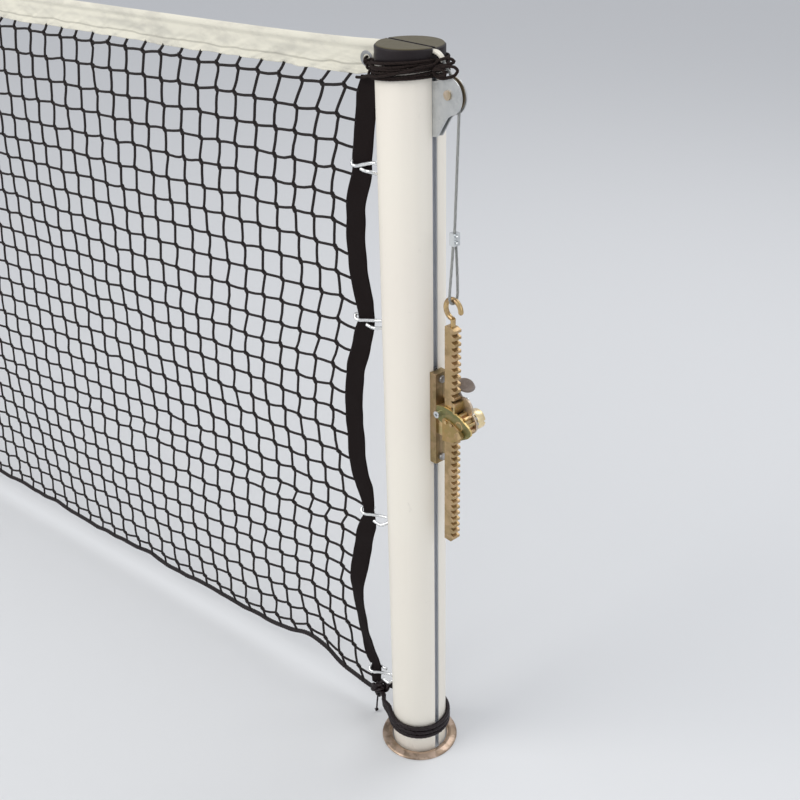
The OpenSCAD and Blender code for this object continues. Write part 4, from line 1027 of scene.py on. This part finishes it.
def makeNetPart(name, first, last, knot, steps, sides):
    verts, edges, knots = [], [], []
    index = {}

    def at(k, j, side):
        # side -1 is where the strings meet, 1 where they part, 0 the knot between
        inside = 0 <= k < columns and 0 <= j < net["rows"]
        key = (k, j, side if inside else 0)
        if key not in index:
            index[key] = len(verts)
            if 0 <= k < columns:
                x, y, z = netPoint(k, j)
                dx, dz = shift(z) if inside else (0, 0)
                verts.append((x + side * dx, y, z - side * dz))
            else:
                z = netPoint(0 if k < 0 else columns - 1, j)[2] - 4
                far = int(k >= 0)
                lower = tapePoint(z, -0.75, 0, far)[2]
                verts.append(tuple(tapePoint(2 * z - lower, -0.75, 0, far)))
            knots.append(1.0 if inside and side == 0 and first <= k < last else 0.0)
        return index[key]

    for k in range(first, last):
        for j in range(-1, net["rows"]):
            edges.append((at(k, j, 1), at(k, j + 1, -1)))
        for j in range(net["rows"]):
            edges.append((at(k + 1, j, 1), at(k, j, -1)))
            edges.append((at(k, j, -1), at(k, j, 1)))
            at(k, j, 0)
    if first == 0:
        for j in range(net["rows"]):
            edges.append((at(0, j, 1), at(-1, j, 0)))
    obj = newMesh(name, verts, [], edges=edges, smooth=False)
    setPoints(obj, knot=knots)
    bake(obj, netTree, Radius=net["d"] / 2 * mm, Steps=steps, Sides=sides, Sag=net["sag"] * mm, Knot=knot,
         Seed=first + 3, Material=paint["netCord"])
    placed(obj, fixed, "black_cord", *(["net_panel"] if first == 0 else []))


def makeNet():
    fine, medium, plain = netKnot(9, 8, 2), netKnot(6, 6, 2), netKnot(2, 4, 1)
    parts = [("netNear", 0, 13, fine, 5, 8), ("netNext", 13, 40, medium, 4, 6)]
    cuts = [40, 112, 184, 256, columns]
    parts += [("netFar" + str(i), cuts[i], cuts[i + 1], plain, 3, 4) for i in range(4)]
    for name, first, last, knot, steps, sides in parts:
        makeNetPart(name, first, last, knot, steps, sides)
        print(name, "columns", first, "to", last)
    for knot in (fine, medium, plain):
        bpy.data.objects.remove(knot)


makeNet()
print("net made")

# ---- wire hooks between the tapes and the posts

hooks = [
    dict(z=917, left=(-99, 917), right=(-61, 924), tip=(-84, 912), rise=4),
    dict(z=706, left=(-104.5, 703), right=(-63, 709), tip=(-84, 697), rise=4.5),
    dict(z=388, left=(-108, 384), right=(-67, 391), tip=(-84, 375), rise=9),
    dict(z=78, left=(-105, 74), right=(-62, 86), tip=(-76, 67), rise=10, reach=30),
]
hookWire = 5.0


def hookLine(h, far):
    front, back = netY - 4.0, netY + 4.4
    (lx, lz), (rx, rz), (tx, tz) = h["left"], h["right"], h["tip"]
    eyeX, eyeY = (-54.4, netY) if far else (-53.6, 9.4)
    z, high = h["z"], lz + h["rise"]
    points = [
        (lx + h.get("reach", 19), back, high - 1), (lx + 9, back, high), (lx + 1.5, netY + 2.5, high - 1),
        (lx - 1, netY - 0.5, lz + 3), (lx + 2, front - 0.4, lz - 1), (lx + 9, front - 0.8, lz - 1.5),
        ((lx + rx) / 2, front - 0.8, (lz + rz) / 2 - 1.5), (rx, front, rz),
        (eyeX - 3, eyeY - 4.5, (rz + z) / 2 + 2), (eyeX, eyeY, z + 0.5), (eyeX - 2, eyeY + 3.6, z - 4),
        (eyeX - 6, eyeY, z - 8), ((eyeX + tx) / 2, front - 0.4, tz - 0.5), (tx + 6, front, tz - 0.5),
        (tx, front + 0.3, tz + 0.8),
    ]
    return mirrored(points, far)


def makeHooks(name, node, far):
    parts = []
    for h in hooks:
        line = spline(hookLine(h, far), 6)
        parts.append(cordPiece("hook" + str(h["z"]), line, hookWire, paint["hookZinc"], sides=14, depth=0.0))
    placed(joined(name, parts), fixed, "bright_zinc", node)


makeHooks("nearHooks", "near_s_hooks", 0)
makeHooks("farHooks", "far_s_hooks", 1)

# ---- lashings

top = dict(d=3.8, turns=5.71, z=1049.2, r=44.3, rise=4.6, height=17.5)
low = dict(d=7.0, z=35.8, r=45.4, pitch=8.0, turns=3)


def around(place, angle, r, z):
    a = math.radians(angle)
    return place(r * math.cos(a), r * math.sin(a), z)


def topLashingLine(place, far):
    # from its stub round the post, back through the grommet, across the turns and into the bow
    line = mirrored([(-83, 0.5, 1026.5), (-76, -1.5, 1027.5), (-66, -5, 1030), (-55, -14, 1034)], far)
    rng = np.random.default_rng(60 + far)
    start, turned = 228, 360 * top["turns"]
    for a in range(0, int(turned) + 1, 15):
        climb = top["height"] * (a / (360 * 5.0) - 0.5)
        tilt = top["rise"] * math.cos(math.radians(start + a))
        wander = 0.75 * math.sin(math.radians(a) * 1.37 + 1.0) + rng.uniform(-0.25, 0.25)
        r = top["r"] + rng.uniform(-0.1, 0.4)
        line.append(around(place, start + a, r, top["z"] + tilt + min(climb, 9.0) + wander))
    line += mirrored([(-50, netY + 12, 1055), (-60, netY + 6, 1052), (-67.5, netY + 2.5, 1051),
                      (-69.5, netY - 4.5, 1050.5), (-66, -2, 1045), (-60, -4, 1047), (-55, -8, 1048)], far)
    across = [(212, 47.5, -4.0), (224, 48.0, -7.2), (245, 48.2, -7.4), (268, 48.3, -4.4), (290, 48.4, 0.0),
              (312, 48.5, 4.4), (332, 48.6, 8.6)]
    line += [around(place, a, r, top["z"] + z) for a, r, z in across]
    bow = [(49.5, -9, 1059.5), (52, -7, 1062.5), (58, -6, 1066), (68, -3, 1068), (73, 0, 1065),
           (66, -4, 1061), (55, -7.5, 1058.5), (50, -9.5, 1055), (60, -9.5, 1057.5), (68, -7, 1060),
           (76, -3.5, 1060), (79, -1, 1056.5), (77, -2.5, 1051.5), (70, -7.4, 1048), (61, -8.2, 1046),
           (53, -9, 1047.5), (50.5, -11, 1053), (58, -10.5, 1056), (67, -9.5, 1054.5), (68, -9.5, 1050.5),
           (60, -10.8, 1049.5)]
    line += [place(*p) for p in bow]
    return evenly(spline(line, 6), 1.7)


def lowLashingLine(place, far):
    # three turns, each from the net's corner round the post and back to the corner
    first, turned = 236, 256
    line = []
    for k in range(low["turns"]):
        z = low["z"] + low["pitch"] * k
        gate = 38 + 4 * k
        line += mirrored([(-85 + 2 * k, 5 - 3 * k, 40 + 3 * k), (-71 + 1.5 * k, -3 - 1.5 * k, gate),
                          (-57.5, -17 - 0.7 * k, (gate + z) / 2)], far)
        line.append(around(place, 222, 48.2, z - 0.4))
        for a in range(first, first + turned, 16):
            back, turn = (a - first) / turned, math.radians(a)
            r = low["r"] + 0.25 * math.sin(turn * 2.3)
            line.append(around(place, a, r, z + 3.2 * back ** 2 + 0.4 * math.sin(turn * 1.3)))
        line.append(around(place, 146, 47.5, z + 3))
        line += mirrored([(-60, 23, (z + 46) / 2), (-76, 15, 44 + k)], far)
    return evenly(spline(line, 5), 2.4)


def trefoil(centre, size, depth, facing=39):
    # a knot of three loops, turned about the upright by the angle
    t = np.linspace(0.25, 2 * math.pi + 0.05, 60)
    across = size * (np.sin(t) + 2 * np.sin(2 * t))
    up = size * (np.cos(t) - 2 * np.cos(2 * t))
    out = -depth * np.sin(3 * t)
    c, s = math.cos(math.radians(facing)), math.sin(math.radians(facing))
    x, y, z = centre
    return np.stack([x + across * c - out * s, y + across * s + out * c, z + up], 1)


def makeLashings(side, place, far):
    line = topLashingLine(place, far)
    loops = mirrored(trefoil((-61.5, -0.5, 1045.5), 2.0, 2.6), far)
    knot = cordPiece(side + "GrommetKnot", loops, 3.5, paint["lashingCord"], sides=10)
    placed(knot, fixed, "black_cord")
    obj = cordPiece(side + "TopLashing", line, top["d"] * 0.96, paint["lashingCord"], sides=12, depth=0.06,
                    twist=420.0)
    placed(obj, fixed, "black_cord", side + "_top_lashing", side + "_top_bow")
    declared(obj, line, top["d"])

    line = lowLashingLine(place, far)
    corner = [
        (trefoil((-82, 3, 46), 4.2, 5.0), 7.0, 12),
        (trefoil((-86, 4, 42), 4.2, 5.0, facing=79), 6.2, 12),
        (trefoil((-80, -1, 46), 2.4, 4.6, facing=114), 6.6, 12),
        (spline([(-84, 0, 38), (-83.5, -4, 28), (-83.5, -6, 16), (-84, -7, 3)], 8), 2.8, 8),
        (trefoil((-84, -7, 4.2), 0.8, 1.2), 2.2, 8),
    ]
    parts = [cordPiece("loop", mirrored(loop, far), d, paint["thickCord"], sides=n) for loop, d, n in corner]
    knots = joined(side + "CornerKnot", parts)
    placed(knots, fixed, "black_cord", side + "_bottom_tail")
    obj = cordPiece(side + "BottomLashing", line, low["d"] * 0.97, paint["thickCord"], lobes=4.0, twist=230.0)
    placed(obj, fixed, "black_cord", side + "_bottom_lashing")
    declared(obj, line, low["d"])


makeLashings("near", nearPoint, 0)
makeLashings("far", farPoint, 1)
print("lashings made")
